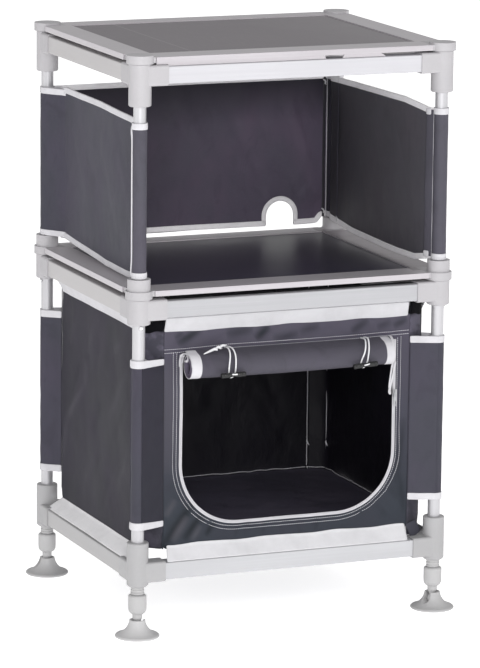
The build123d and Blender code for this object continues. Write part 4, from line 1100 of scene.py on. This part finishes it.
# ------------------------------------------------------------------ stitching on the front
lines = []
for g, dx in ((8.6, 0.0), (15.0, 0.0)):
    lines.append(rim_line(g, 494.0 if g < 10 else 496.0, 1.2, 2.0))
for dz, top in ((0.0, [(-231, 501.0), (-190, 500.9), (-112, 503.2), (20, 503.0), (120, 503.4), (229, 505.6)]),
                (0.0, [(-231, 494.6), (-196, 495.2), (-112, 497.0), (20, 496.8), (120, 497.2), (229, 499.4)])):
    lines.append(front.path([(x + 231.0, z) for x, z in top], 0.75, 2.0))
front_stitches = stitches("front_stitches", lines, width=1.15, length=3.1, height=0.5)
back_lines = [back.path([(2.0, z), (back.length - 2.0, z)], 0.75, 3.0) for z in (500.0, 506.0)]
back_stitches = stitches("back_stitches", back_lines)
for tag, sx in (("left", -1), ("right", 1)):
    cl = LOW_SIDE[tag]
    stitches("lower_side_%s_stitches" % tag, [cl.path([(38.5, 150.0), (38.5, 545.0)], 0.7, 3.0), cl.path([(cl.length - 38.5, 150.0), (cl.length - 38.5, 545.0)], 0.7, 3.0)])


# ------------------------------------------------------------------ rolled door
def door_roll():
    cy, cz = -241.0, 471.5
    x0, x1 = -193.5, 188.0
    turns, pitch = 4.4, 2.55
    # line of the cloth in the y-z plane, from the seam above the door over the front of the roll and inwards
    ang = [math.radians(a) for a in (60, 68, 78, 90)]
    rad = [29.0, 26.0, 23.2, 21.6]
    sp = [(a, r) for a, r in zip(ang, rad)]
    steps = 118
    for k in range(1, steps + 1):
        a = math.radians(90) + turns * 2 * math.pi * k / steps
        sp.append((a, 21.4 - pitch * (a - math.radians(90)) / (2 * math.pi)))
    cuff = 18.5
    xs = list(np.linspace(x0, x0 + cuff, 7)) + list(np.linspace(x0 + cuff, x1 - cuff - 0.6, 66)[1:]) + list(np.linspace(x1 - cuff - 0.6, x1, 7)[1:])
    verts = []
    for x in xs:
        end = 1.0 if (x < x0 + cuff - 0.1 or x > x1 - cuff + 0.5) else 0.0
        pinch = 1.5 * math.exp(-((x + 120.5) / 10.0) ** 2) + 1.5 * math.exp(-((x - 127.0) / 10.0) ** 2)
        droop = 1.6 * math.sin(math.pi * (x - x0) / (x1 - x0))
        for k, (a, r) in enumerate(sp):
            outer = max(0.0, 1 - max(0, k - 3) / 30.0)
            rr = r - pinch * (0.4 + 0.6 * outer) + 0.5 * end
            fade = min(1.0, k / 4.0)
            rr += fade * outer * (0.9 * wob(x, 26 * math.cos(a), 26 * math.sin(a), 46.0, 5.0) + 0.45 * wob(x * 0.5, 40 * math.cos(a), 40 * math.sin(a), 15.0, 9.0) - 0.3)
            if end:
                rr += 0.35 * wob(x * 1.5, 30 * math.cos(a), 30 * math.sin(a), 8.0, 2.0) * fade
            flat = 1.0 - 0.05 * outer * max(0.0, -math.sin(a))
            y = cy + rr * math.cos(a) * 0.985
            z = cz + rr * math.sin(a) * flat - droop * min(1.0, k / 4.0)
            verts.append((x, min(y, -226.6) if k < 4 else y, z))
    m, n = len(sp), len(xs)
    faces, index = [], []
    for i in range(n - 1):
        for j in range(m - 1):
            faces.append((i * m + j, (i + 1) * m + j, (i + 1) * m + j + 1, i * m + j + 1))
            index.append(2 if (i < 6 or i >= n - 6) and j < 36 else 1 if (i < 2 or i >= n - 3) else 0)
    ob = add("rolled_door", verts, [f[::-1] for f in faces], [M["slate_roll"], M["slate_in"], M["zip"]], "root", index)
    soften(ob)
    thicken(ob, 1.25, 0.0, 0)
    return ob


door_roll()
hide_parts("door_roll")


def bent_tape(name, pts, facing, width, mats=None, seed=0.0, thick=0.9):
    p = resample(np.asarray(pts, float), 2.0)
    for _ in range(3):
        p[1:-1] = (p[:-2] + 2 * p[1:-1] + p[2:]) / 4
    f = resample(np.asarray(facing, float), 1.0) if len(facing) > 2 else np.asarray(facing, float)
    t = np.linspace(0, 1, len(p))
    u = np.linspace(0, 1, len(f))
    n = np.stack([np.interp(t, u, f[:, k]) for k in range(3)], 1)
    ob = strip(name, p, n, width, thick, mats or M["zip"], "root")
    soften(ob)
    return ob


# loose ends of the zip tape at the two ends of the roll
loose = [
    bent_tape("tape_left_a", [(-202.6, -227.4, 470.0), (-203.0, -228.6, 484.0), (-202.0, -232.0, 491.0), (-198.4, -237.0, 495.4), (-193.5, -242.0, 494.4), (-189.5, -246.0, 490.6)],
              [(0, -1, 0), (0, -1, 0.2), (0.2, -0.8, 0.6), (0.3, -0.5, 0.9), (0.3, -0.4, 1)], 4.6, seed=1),
    bent_tape("tape_left_b", [(-199.6, -229.0, 476.0), (-199.0, -233.0, 489.0), (-195.0, -237.0, 494.4), (-193.6, -243.0, 490.0), (-196.4, -248.0, 484.4), (-198.8, -244.0, 480.0), (-197.0, -238.6, 483.6)],
              [(0.3, -1, 0), (0.6, -0.8, 0.3), (0.2, -0.4, 1), (0.7, -0.7, 0.3), (-0.4, -0.9, 0.2)], 4.6, seed=2),
    bent_tape("tape_right_a", [(192.2, -240.0, 453.0), (192.4, -236.0, 444.0), (192.0, -233.0, 430.0), (191.0, -231.0, 416.0), (190.6, -230.2, 408.0), (191.8, -229.6, 398.0)],
              [(0.2, -1, 0), (0.3, -1, 0), (0.1, -1, 0)], 3.4, seed=3),
    bent_tape("tape_right_b", [(197.6, -240.0, 454.0), (198.0, -236.4, 446.0), (196.6, -233.6, 432.0), (194.6, -231.6, 418.0), (193.2, -230.6, 408.0), (192.8, -229.8, 399.0)],
              [(-0.3, -1, 0), (-0.1, -1, 0), (0.1, -1, 0)], 3.2, seed=4),
    bent_tape("tape_right_top", [(189.0, -228.0, 499.0), (189.6, -233.0, 499.8), (189.0, -241.0, 497.4), (187.4, -251.0, 492.0), (186.4, -258.6, 484.0)],
              [(0.1, -0.7, 0.8), (0.1, -0.4, 1), (0.1, -0.8, 0.7), (0.1, -1, 0.3)], 5.4, seed=5),
    bent_tape("tape_right_knot", [(191.4, -231.6, 405.6), (188.4, -233.2, 402.0), (188.8, -234.4, 396.0), (192.2, -233.6, 394.0), (193.6, -231.8, 398.6), (191.6, -231.0, 402.0)],
              [(0.2, -1, 0), (-0.6, -0.8, 0), (0.2, -1, 0.1), (0.7, -0.7, 0)], 3.0, seed=6),
]
# knotted end of the left elastic, on the seam
knot = tube("elastic_knot", [(-168.0, -247.4, 493.6), (-160.0, -245.0, 495.6), (-153.0, -242.6, 497.4), (-147.0, -241.2, 499.2), (-142.6, -243.0, 501.6), (-140.0, -242.8, 498.6), (-143.0, -240.2, 498.0), (-139.6, -239.0, 502.6),
                             (-134.6, -240.4, 503.4), (-132.0, -240.6, 500.2), (-135.0, -237.6, 500.0), (-130.0, -236.4, 503.8), (-125.4, -236.6, 505.0), (-122.6, -234.6, 502.6), (-118.6, -231.8, 504.0)],
            [0.9, 1.7, 2.3, 2.7, 2.8, 2.8, 2.8, 2.8, 2.8, 2.7, 2.6, 2.6, 2.3, 2.0, 1.5], M["cord"], "root", sides=10)
soften(knot)


# ------------------------------------------------------------------ upper module cloth (rides on the upper module)
UP = "upper_module"
UP_FOLDS = [
    ((60, 700), (160, 860), 12.0, 2.2), ((140, 660), (270, 880), 14.0, -2.0), ((260, 650), (360, 850), 13.0, 2.3), ((330, 880), (420, 690), 11.0, -1.8),
    ((40, 860), (90, 720), 8.0, 1.5), ((200, 870), (240, 760), 8.0, 1.2), ((390, 850), (430, 720), 8.0, 1.4),
]


def up_side_relief(seed, length):
    def f(s, z):
        e = min(1.0, max(0.0, min(s, length - s) / 22.0))
        d = along(UP_FOLDS, s, z) * 0.42 + 2.6 * wob(s, 0, z, 110.0, seed) + 0.7 * wob(s, 40, z, 40.0, seed + 3) + 0.3 * wob(s, 70, z, 14.0, seed + 5)
        return d * e
    return f


def between(table):
    xs, ys = zip(*table)
    return lambda s: float(np.interp(s, xs, ys))


TOP_EDGE = {"left": [(0, 892), (12, 893.5), (90, 896.6), (230, 901.2), (400, 902.2), (440, 899.0), (456, 897.0)],
            "right": [(0, 895.5), (14, 897), (110, 903.0), (330, 899.4), (440, 897.0), (456, 896.5)]}
LOW_EDGE = {"left": [(0, 629.5), (16, 625.5), (50, 617.6), (96, 614.6), (200, 616.4), (290, 622.0), (400, 629.0), (456, 631)],
            "right": [(0, 631), (16, 628.0), (60, 620.0), (130, 618.0), (330, 621.0), (420, 628.0), (456, 631)]}
for tag, sx in (("left", -1), ("right", 1)):
    pts = [(sx * 272.6, -225.6), (sx * 269.0, -220.0), (sx * 264.6, -211.0), (sx * 264.2, -120.0), (sx * 263.4, 0.0), (sx * 264.2, 120.0), (sx * 264.6, 211.0), (sx * 269.0, 220.0), (sx * 272.6, 225.6)]
    line = dense(pts, 2.0, 6.0)
    cl = Cloth(line, lambda s, z: 0.0, sx)
    cl.relief = up_side_relief(21.0 + sx * 4, cl.length)
    top, low = between(TOP_EDGE[tag]), between(LOW_EDGE[tag])
    ob = patch(cl, "upper_side_%s_cloth" % tag, 0.0, cl.length, lambda s, f=low: f(s) + 3.0, lambda s, f=top: f(s) - 3.0, [M["slate"], M["slate_in_side"]], UP, step=7.0, thick=1.0, inner=1)
    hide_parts("upper_side_" + tag)
    patch(cl, "upper_side_%s_bind_top" % tag, 0.0, cl.length, lambda s, f=top: f(s) - 10.5, top, M["binding_in"] if sx > 0 else M["binding"], UP, step=6.0, thick=2.8, rows=6)
    patch(cl, "upper_side_%s_bind_low" % tag, 0.0, cl.length, low, lambda s, f=low: f(s) + 10.5, M["binding_in"] if sx > 0 else M["binding"], UP, step=6.0, thick=2.8, rows=6)
    # outer strip to the back post
    st = strip_cloth([(sx * 262.6, 174.0), (sx * 265.4, 184.0), (sx * 274.0, 195.0), (sx * 286.0, 212.0), (sx * 292.6, 222.0), (sx * 294.0, 228.0)], 31.0 + sx, sx)
    patch(st, "upper_strip_%s_cloth" % tag, 0.0, st.length, 633.0, 894.0, M["slate"], UP, step=5.0, thick=1.0)
    for k, (z0, z1) in enumerate(((630.6, 640.6), (886.6, 897.4))):
        patch(st, "upper_strip_%s_bind_%d" % (tag, k), 0.0, st.length, z0, z1, M["binding"], UP, step=4.0, thick=2.6, off=0.2, rows=5)
    for end, (cx, cy) in (("front", (sx * PX, -PY)), ("back", (sx * PX, PY))):
        # painted light and shade: the front sleeves take a lighter copy of the cloth, the back sleeves a darker one
        sl = ring("upper_sleeve_%s_%s" % (end, tag), cx, cy, 11.3, 632.0, 895.0, M["slate_sleeve"] if end == "front" else M["slate_low"], UP, thick=1.0, seed=41 + sx + len(end), rough=0.4)
        for k, (z0, z1) in enumerate(((630.4, 641.0), (886.8, 897.8))):
            ring("upper_sleeve_bind_%s_%s_%d" % (end, tag, k), cx, cy, 12.1, z0, z1, M["binding"], UP, thick=1.2, seed=k, rough=0.15, nz=5)

# inner strip at the front end of the right wall, with its two pale tabs
right_wall = cl
front_strip = patch(right_wall, "upper_right_inner_strip", 1.5, 20.5, 634.0, 893.0, M["slate_sleeve"], UP, step=4.0, thick=0.9, off=-1.5)
front_tabs = [patch(right_wall, "upper_right_tab_%d" % k, 8.0, 19.5, z0, z1, M["binding"], UP, step=3.0, thick=1.0, off=-2.5, rows=4) for k, (z0, z1) in enumerate(((632.6, 643.4), (884.0, 894.6)))]
p, n = right_wall.path([(1.8, 640.0), (1.8, 888.0)], -2.3, 4.0)
front_tabs.append(tube("upper_right_inner_seam", p, 0.8, M["seam_pale"], UP, sides=7))

# bound front edge of the left wall, lying on the outer side of its sleeve
edge_line = [(-270.0, -221.0, 627.0), (-282.0, -217.8, 626.4), (-290.6, -221.4, 631.0), (-294.2, -228.0, 642.0), (-294.2, -231.9, 662.0), (-294.3, -231.9, 700.0), (-294.3, -231.7, 800.0), (-294.2, -231.6, 872.0),
             (-293.6, -227.6, 886.0), (-289.0, -220.0, 892.6), (-281.0, -215.6, 895.6), (-270.4, -212.0, 897.4)]
edge_p = resample(np.asarray(edge_line), 5.0)
for _ in range(2):
    edge_p[1:-1] = (edge_p[:-2] + 2 * edge_p[1:-1] + edge_p[2:]) / 4
bound = tube("upper_left_bound_edge", edge_p, np.interp(edge_p[:, 2], [626.0, 640.0, 868.0, 886.0, 897.0], [1.7, 1.35, 1.35, 2.1, 2.6]), M["binding"], UP, sides=8)


XB = 271.2          # half length of the back wall, out to its posts


def up_back_relief(s, z):
    x = s - XB
    d = 2.6 * wob(x, 0, z, 120.0, 51.0) + 1.2 * wob(x, 30, z, 42.0, 54.0) + 0.4 * wob(x, 60, z, 14.0, 57.0)
    d += along([((-200, 860), (-80, 680), 13, 2.2), ((-40, 880), (70, 700), 14, -2.0), ((60, 860), (150, 690), 12, 1.8), ((190, 860), (240, 720), 9, -1.6), ((-230, 760), (-170, 660), 9, 1.4),
                ((-150, 800), (-130, 650), 8, -1.2), ((120, 700), (149, 672), 5, 1.2), ((203, 672), (236, 704), 5, 1.2)], x, z)
    return d * min(1.0, max(0.0, (XB - abs(x)) / 16.0))


up_back = Cloth(dense([(-XB, 240.0), (XB, 240.0)], 2.0), up_back_relief, -1)
PORT_X, PORT_Z, PORT_R = 176.0, 636.5, 27.0


def port_height(x):
    dx = abs(x - PORT_X)
    return PORT_Z + math.sqrt(max(0.0, PORT_R ** 2 - dx * dx)) if dx <= PORT_R + 1e-6 else None


def back_low(x):
    return 618.0 + 12.5 * max(0.0, min(1.0, (abs(x) - 250.0) / 8.0)) + 0.8 * math.sin(x / 40.0)


def upper_back_sheet():
    left = list(np.linspace(-XB + 0.1, PORT_X - PORT_R, 66))
    mid = [PORT_X - PORT_R * math.cos(g) for g in np.linspace(0, math.pi, 17)]
    right = list(np.linspace(PORT_X + PORT_R, XB - 0.1, 13))
    upper = np.linspace(0, 1, 38)
    verts, faces = [], []

    def column(x, z0, fracs, z1):
        for t in fracs:
            verts.append(up_back.at(x + XB, z0 + (z1 - z0) * t))

    for xs in (left, right):
        base = len(verts)
        for x in xs:
            column(x, back_low(x), (0, 0.33, 0.66), PORT_Z)
            column(x, PORT_Z, upper, 896.5)
        m = 3 + len(upper)
        for i in range(len(xs) - 1):
            for j in range(m - 1):
                faces.append((base + i * m + j, base + i * m + j + 1, base + (i + 1) * m + j + 1, base + (i + 1) * m + j))
    base = len(verts)
    for x in mid:
        column(x, port_height(x), upper, 896.5)
    m = len(upper)
    for i in range(len(mid) - 1):
        for j in range(m - 1):
            faces.append((base + i * m + j, base + i * m + j + 1, base + (i + 1) * m + j + 1, base + (i + 1) * m + j))
    ob = merged("upper_back_cloth", verts, faces, [M["slate"], M["slate_back"]], UP)
    soften(ob)
    return thicken(ob, 1.0, 0.0, 1)


upper_back_sheet()
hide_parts("upper_back_panel")


def rim_band(name, pts, width, thick=3.0):
    p, n = up_back.path([(x + XB, z) for x, z in pts], 0.0, 3.0)
    ob = strip(name, p, n, width, thick, M["binding_in"], UP, bulge=0.15)
    return ob


port_pts = [(PORT_X - 31.5, back_low(0) + 5.0), (PORT_X - 31.5, PORT_Z)] + [(PORT_X - 31.5 * math.cos(g), PORT_Z + 31.5 * math.sin(g)) for g in np.linspace(0, math.pi, 33)[1:]] + [(PORT_X + 31.5, back_low(0) + 5.0)]
port_band = rim_band("cable_port_binding", port_pts, 9.0, 3.0)
low_left = rim_band("upper_back_bind_low_a", [(-270.6, back_low(-264) + 5.2), (-257.0, back_low(-257) + 5.2), (-248.0, back_low(-248) + 5.2), (0, back_low(0) + 5.2), (PORT_X - 28.0, back_low(148) + 5.2)], 10.4)
low_right = rim_band("upper_back_bind_low_b", [(PORT_X + 28.0, back_low(204) + 5.2), (248.0, back_low(248) + 5.2), (257.0, back_low(257) + 5.2), (270.6, back_low(264) + 5.2)], 10.4)
top_band = rim_band("upper_back_bind_top", [(-270.6, 892.0), (270.6, 892.0)], 10.4)
up_lines = [up_back.path([(6.0, 640.0), (6.0, 884.0)], -0.8, 3.0), up_back.path([(up_back.length - 6.0, 640.0), (up_back.length - 6.0, 884.0)], -0.8, 3.0)]
for sx in (-1, 1):
    p, n = up_back.path([(sx * 262.5 + XB, 630.0), (sx * 262.5 + XB, 893.0)], -1.1, 4.0)
    strip("upper_back_inner_strip_%s" % ("left" if sx < 0 else "right"), p, n, 5.6, 0.9, M["slate_in_side"], UP)
    p, n = up_back.path([(sx * 267.9 + XB, 626.0), (sx * 267.9 + XB, 893.0)], -1.3, 4.0)
    tube("upper_back_inner_seam_%s" % ("left" if sx < 0 else "right"), p, 0.85, M["seam_pale"], UP, sides=7)
    for k, z in enumerate((641.0, 881.0)):
        tube("upper_back_tab_%s_%d" % ("left" if sx < 0 else "right", k), [(sx * 259.0, 237.4, z + 4.5), (sx * 262.0, 236.6, z + 3.0), (sx * 263.6, 236.4, z), (sx * 262.6, 236.6, z - 3.2), (sx * 265.4, 237.0, z - 4.8)], [0.9, 1.5, 1.7, 1.5, 0.9], M["binding"], UP, sides=7)
up_stitches = stitches("upper_back_stitches", [(p, -n) for p, n in up_lines], body=UP)


# ------------------------------------------------------------------ unused helper and empty loops
def pair(*names):
    return [n for n in names if n]


for tag in ("left", "right"):
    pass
for tag in POSTS:
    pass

# ------------------------------------------------------------------ floor, light, world
floor = bpy.data.meshes.new("studio_floor")
floor.from_pydata([(-30, -30, 0), (30, -30, 0), (30, 30, 0), (-30, 30, 0)], [], [(0, 1, 2, 3)])
floor_mat = Mat("studio_floor", roughness=0.9, Specular_IOR_Level=0.1, Emission_Color=(1.0, 1.0, 1.0, 1.0), Emission_Strength=0.72)
floor_mat.colour(floor_mat.ramp(floor_mat.noise(0.6, 2.0), [(0.0, 0.93), (1.0, 0.96)]))
floor.materials.append(floor_mat.m)
floor_ob = bpy.data.objects.new("studio_floor", floor)
bpy.context.collection.objects.link(floor_ob)


def area_light(name, where, at, size, power, colour=(1, 1, 1)):
    d = bpy.data.lights.new(name, "AREA")
    d.shape = "RECTANGLE"
    d.size, d.size_y = size
    d.energy = power
    d.color = colour
    ob = bpy.data.objects.new(name, d)
    bpy.context.collection.objects.link(ob)
    ob.location = where
    ob.rotation_euler = (Vector(at) - Vector(where)).to_track_quat("-Z", "Y").to_euler()
    return ob


area_light("key", (-1.5, -3.9, 1.7), (0.0, -0.1, 0.55), (1.3, 1.3), 62.0)
area_light("right_fill", (1.6, -3.2, 2.2), (0.0, -0.1, 0.55), (1.3, 1.3), 24.0)
area_light("front_fill", (-0.4, -4.0, 0.9), (0.0, 0.0, 0.5), (2.2, 1.4), 6.0)
area_light("top", (0.2, 0.3, 3.2), (0.0, 0.0, 0.8), (1.6, 1.6), 7.0)
area_light("left_fill", (-3.2, -0.4, 1.2), (0.0, 0.0, 0.5), (1.6, 1.6), 9.0)
world = bpy.data.worlds.new("studio")
world.use_nodes = True
bg = world.node_tree.nodes["Background"]
bg.inputs[0].default_value = (1.0, 1.0, 1.0, 1.0)
bg.inputs[1].default_value = 0.50
bpy.context.scene.world = world
bpy.context.scene.view_settings.view_transform = "Standard"
